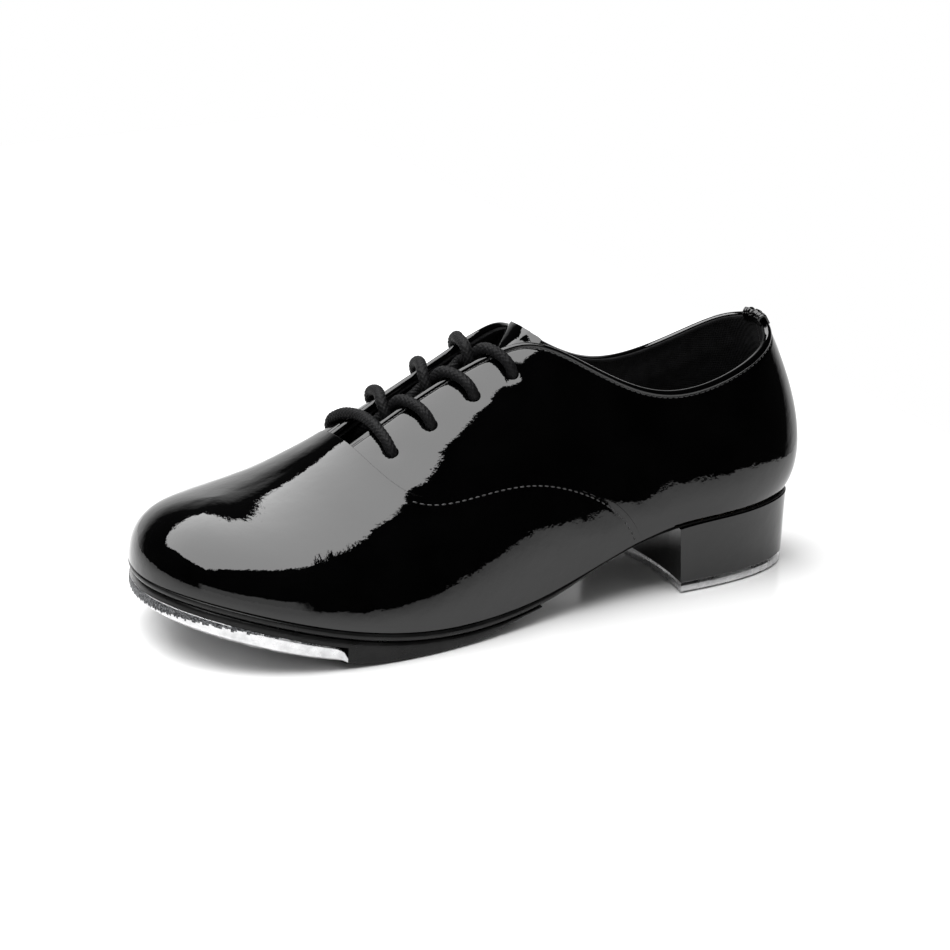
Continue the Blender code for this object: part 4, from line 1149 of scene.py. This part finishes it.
# ---------------------------------------------------------------- the heel
def heel_ring(z, inset):
    """Plan of the heel at height z: it follows the heel seat round the back to a hollow breast."""
    steps = 40
    f = z / HEEL_HEIGHT
    front = HEEL_FRONT - 0.4 + 1.8 * f - inset
    last = np.interp(front, BED[:, 0], np.linspace(0, TOE, len(BED)))
    s = np.linspace(0, last, steps + 1)
    flanks = []
    for side, _ in SIDES:
        edge = sole_edge(s, side, HEEL_OUT + (HEEL_OUT_FRONT - HEEL_OUT) * (s / last) ** 2 - inset)
        edge[:, 0] += HEEL_PITCH * (1 - f) * (1 - s / last)
        flanks.append(edge)
    outer, inner = flanks
    across = np.linspace(0, 1, steps + 1)[1:-1, None]
    breast = inner[-1] + (outer[-1] - inner[-1]) * across
    breast[:, 0] -= HEEL_HOLLOW * 4 * (across * (1 - across))[:, 0]
    ring = np.vstack([outer[::-1], inner[1:], breast])
    ring[:, 2] = z
    return ring


def stacked(rings):
    """Points and faces of a solid through rings of equally many points."""
    n = len(rings[0])
    points = np.vstack([*rings, rings[0].mean(0), rings[-1].mean(0)])
    faces = quads(len(rings), n, closed=True).tolist()
    low, high, top = n * len(rings), n * len(rings) + 1, n * (len(rings) - 1)
    for i in range(n):
        faces += [(low, (i + 1) % n, i), (high, top + i, top + (i + 1) % n)]
    return points, faces


# (height, how far inside the heel's plan)
HEEL_TAP_PROFILE = (
    (0.0, 1.3), (0.12, 0.75), (0.45, 0.3), (0.95, 0.02), (1.3, 0.0), (2.75, 0.0), (3.05, 0.12),
    (HEEL_TAP, 0.4),
)


def make_heel():
    """The patent-covered heel, with a groove under the heel seat, and its tap."""
    low, groove = HEEL_TAP + 0.12, 0.35
    levels = [low, low + groove, *np.linspace(low + 1.2, 31.5, 14)]
    rings = [heel_ring(z, groove if z == low else 0.0) for z in levels]
    cover = add_mesh(
        "heel_cover_skin", *stacked(rings), PATENT, slot="patent", replaces=["heel_cover", "heel_block"]
    )
    s, v = np.meshgrid(np.linspace(0, 7, 90), np.linspace(0, 1, 21), indexing="ij")
    out = SOLE_EDGE + 6 + 0 * s
    seat = sole_block(s, v, out, lambda x: 45.0 + 0 * x, lambda x: midsole_bottom(x) - 0.1)
    cut(cover, [bare_object("seat", *seat)])
    round_edges(cover, 0.45, 3, 35)
    rings = [heel_ring(z, inset) for z, inset in HEEL_TAP_PROFILE]
    tap = add_mesh("heel_tap_plate", *stacked(rings), TAP, slot="tap", replaces=["heel_tap"])
    cut(tap, [screw_seat(*place) for place in heel_screws()], 35)


# ---------------------------------------------------------------- screws
SCREW_HEAD = 3.4
TOE_SCREWS = ((246.0, 4.0), (223.0, 29.0), (223.0, -26.0))
HEEL_SCREWS = ((47.0, 17.0), (47.0, -16.0), (13.2, 0.9))


def toe_screws():
    """Place and axis of each screw in the toe tap."""
    found = []
    for x, y in TOE_SCREWS:
        slope = float(tread(x + 1.0) - tread(x - 1.0)) / 2.0
        axis = np.array((-slope, 0.0, 1.0)) / math.hypot(slope, 1.0)
        found.append((np.array((x, y, float(tread(x)))), axis))
    return found


def heel_screws():
    return [(np.array((x, y, 0.0)), UP) for x, y in HEEL_SCREWS]


def screw_seat(place, normal):
    """The countersink's cutter."""
    wide = SCREW_HEAD + 0.15
    profile = ((-4, wide), (0.9, wide), (2.5, 1.5), (4.4, 1.5))
    return bare_object("countersink", *turned(profile, place, normal, 32))


# (depth from the tap's face, radius)
SCREW_PROFILE = (
    (0.32, 0.05), (0.32, 2.2), (0.38, 2.9), (0.5, 3.25), (0.72, SCREW_HEAD), (0.95, 3.3), (2.5, 1.4),
    (7.5, 1.4), (8.4, 0.3),
)


def make_screw(name, place, normal, node, turn):
    """A countersunk head with a cross recess."""
    solid = turned(SCREW_PROFILE, place, normal, 40)
    screw = add_mesh(name, *solid, STEEL, slot="steel", replaces=[node])
    axis, one, two = basis(normal)
    cutters = []
    for k in range(2):
        a = turn + k * math.pi / 2
        along = math.cos(a) * one + math.sin(a) * two
        across = np.cross(axis, along)
        corners = []
        for depth, half in ((-1.0, 2.1), (0.8, 2.0), (1.5, 0.9)):
            for u, w in ((-1, -1), (1, -1), (1, 1), (-1, 1)):
                corners.append(place + depth * axis + u * half * along + w * 0.38 * across)
        cutters.append(bare_object("cross", corners, tube_faces(3, 4)))
    cut(screw, cutters, 30)


def make_screws():
    for word, places, first, step in (("toe", toe_screws(), 0.4, 0.7), ("heel", heel_screws(), 0.9, 0.5)):
        for k, (place, axis) in enumerate(places):
            name, node = f"{word}_screw_{k + 1}", f"{word}_tap_screw_{k + 1}"
            make_screw(name, place, axis, node, first + step * k)


# ---------------------------------------------------------------- CAD pieces that stay
def finish_cad_pieces():
    """Pieces whose CAD shape is right get their own material."""
    kept = {"insole_board": BOARD, "filler_pad": CORK, "shank": STEEL, "heel_bolt": STEEL}
    hidden = ["aglet_a", "aglet_b"]
    hidden += [f"eyelet_{word}_{k + 1}" for _, word in SIDES for k in range(len(EYELETS))]
    kept.update(dict.fromkeys(hidden, ENAMEL))
    for node, look in kept.items():
        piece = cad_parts[node]
        piece.data.materials.clear()
        piece.data.materials.append(look)


# ---------------------------------------------------------------- stage, light and camera
CAMERA_YAW, CAMERA_RISE, CAMERA_ROLL = math.radians(31.1), math.radians(18.9), math.radians(2.6)
CAMERA_TARGET = (np.array((128.5, 0.0, 44.0)) - ORIGIN) * MM
CAMERA_DISTANCE, LENS = 1.675, 177.3
TOWARDS_CAMERA = np.array((math.sin(CAMERA_YAW), math.cos(CAMERA_YAW), 0.0))


def make_camera():
    way = TOWARDS_CAMERA * math.cos(CAMERA_RISE) + UP * math.sin(CAMERA_RISE)
    data = bpy.data.cameras.new("camera")
    data.lens = LENS
    data.sensor_width = 36.0
    data.clip_start, data.clip_end = 0.1, 50.0
    camera = linked("camera", data)
    camera.location = CAMERA_TARGET + CAMERA_DISTANCE * way
    aim = (-Vector(way)).to_track_quat("-Z", "Y")
    camera.rotation_mode = "QUATERNION"
    camera.rotation_quaternion = aim @ Matrix.Rotation(CAMERA_ROLL, 3, "Z").to_quaternion()
    bpy.context.scene.camera = camera


FLOOR_CORNERS = ((-0.27, -0.62), (0.8, -0.62), (0.8, 0.9), (0.35, 0.9), (-0.27, 0.14))


# Brightness of the studio by direction: (how far it turns towards a sector's middle, level).
BACKDROP = ((0.0, 0.006), (0.5, 0.02), (0.78, 1.0))
CAMERA_WALL = ((0.0, 0.0), (0.78, 0.0), (0.84, 1.0))
WALL_HEIGHT = ((0.0, 1.0), (0.13, 1.0), (0.16, 0.0))
FILL = 0.4
SOFTBOX_CENTRE, SOFTBOX_SIZE, SOFTBOX_RADIANCE = (0.44, -0.19, 1.05), (1.42, 1.63), 6.0


def make_floor():
    values = [("Specular IOR Level", 0.35)]
    tint = ((2.0, 2.0), grey(0.72), grey(0.76))
    mesh = bpy.data.meshes.new("floor")
    mesh.from_pydata([(x, y, 0) for x, y in FLOOR_CORNERS], [], [range(len(FLOOR_CORNERS))])
    mesh.materials.append(material("floor_paint", grey(0.74), (0.16, 0.0), tint, None, [], values))
    floor = linked("floor", mesh)
    floor.location.z = -0.0002


def make_world():
    """White where the camera sees it, an even fill for matt surfaces, and for reflections a dark
    studio with a pale backdrop beyond the shoe and a low pale wall behind the camera."""
    world = bpy.data.worlds.new("studio")
    bpy.context.scene.world = world
    world.use_nodes = True
    world.node_tree.nodes.clear()
    tree = Tree(world.node_tree)
    place = tree.node("ShaderNodeTexCoord").outputs["Generated"]
    path = tree.node("ShaderNodeLightPath").outputs

    def background(level):
        return tree.node("ShaderNodeBackground", Color=(*grey(level), 1.0)).outputs[0]

    def sector(towards, stops):
        """Brightness by how far a direction turns towards the given one."""
        facing = tree.node("ShaderNodeVectorMath", [(0, place)], operation="DOT_PRODUCT")
        facing.inputs[1].default_value = towards
        return tree.ramp(facing.outputs["Value"], [(position, grey(level)) for position, level in stops])

    def joined(operation, one, two):
        made = tree.node("ShaderNodeVectorMath", [(0, one), (1, two)], operation=operation)
        return made.outputs["Vector"]

    def mixed(share, one, two):
        return tree.node("ShaderNodeMixShader", [(0, path[share]), (1, one), (2, two)]).outputs[0]

    x, y, _ = TOWARDS_CAMERA
    wall = joined("MINIMUM", sector((x, y, 0.0), CAMERA_WALL), sector((0.0, 0.0, 1.0), WALL_HEIGHT))
    colour = joined("MAXIMUM", sector((-x, -y, -0.5), BACKDROP), wall)
    studio = tree.node("ShaderNodeBackground", [("Color", colour)]).outputs[0]
    lit = mixed("Is Diffuse Ray", studio, background(FILL))
    seen = mixed("Is Camera Ray", lit, background(1.0))
    tree.node("ShaderNodeOutputWorld", [("Surface", seen)])


def make_light():
    data = bpy.data.lights.new("softbox", "AREA")
    data.shape = "RECTANGLE"
    data.size, data.size_y = SOFTBOX_SIZE
    data.energy = SOFTBOX_RADIANCE * math.pi * math.prod(SOFTBOX_SIZE)
    linked("softbox", data).location = SOFTBOX_CENTRE
    bpy.context.scene.view_settings.view_transform = "Standard"
    bpy.context.scene.view_settings.look = "None"


def main():
    make_camera()
    make_world()
    make_light()
    make_floor()
    make_vamp()
    for side, word in SIDES:
        make_quarter(side, word)
    make_back_strip()
    make_back_tab()
    make_linings()
    make_stiffeners()
    make_tongue()
    make_lace()
    make_stitches()
    make_soles()
    make_toe_tap()
    make_sock()
    make_heel()
    make_screws()
    finish_cad_pieces()


main()
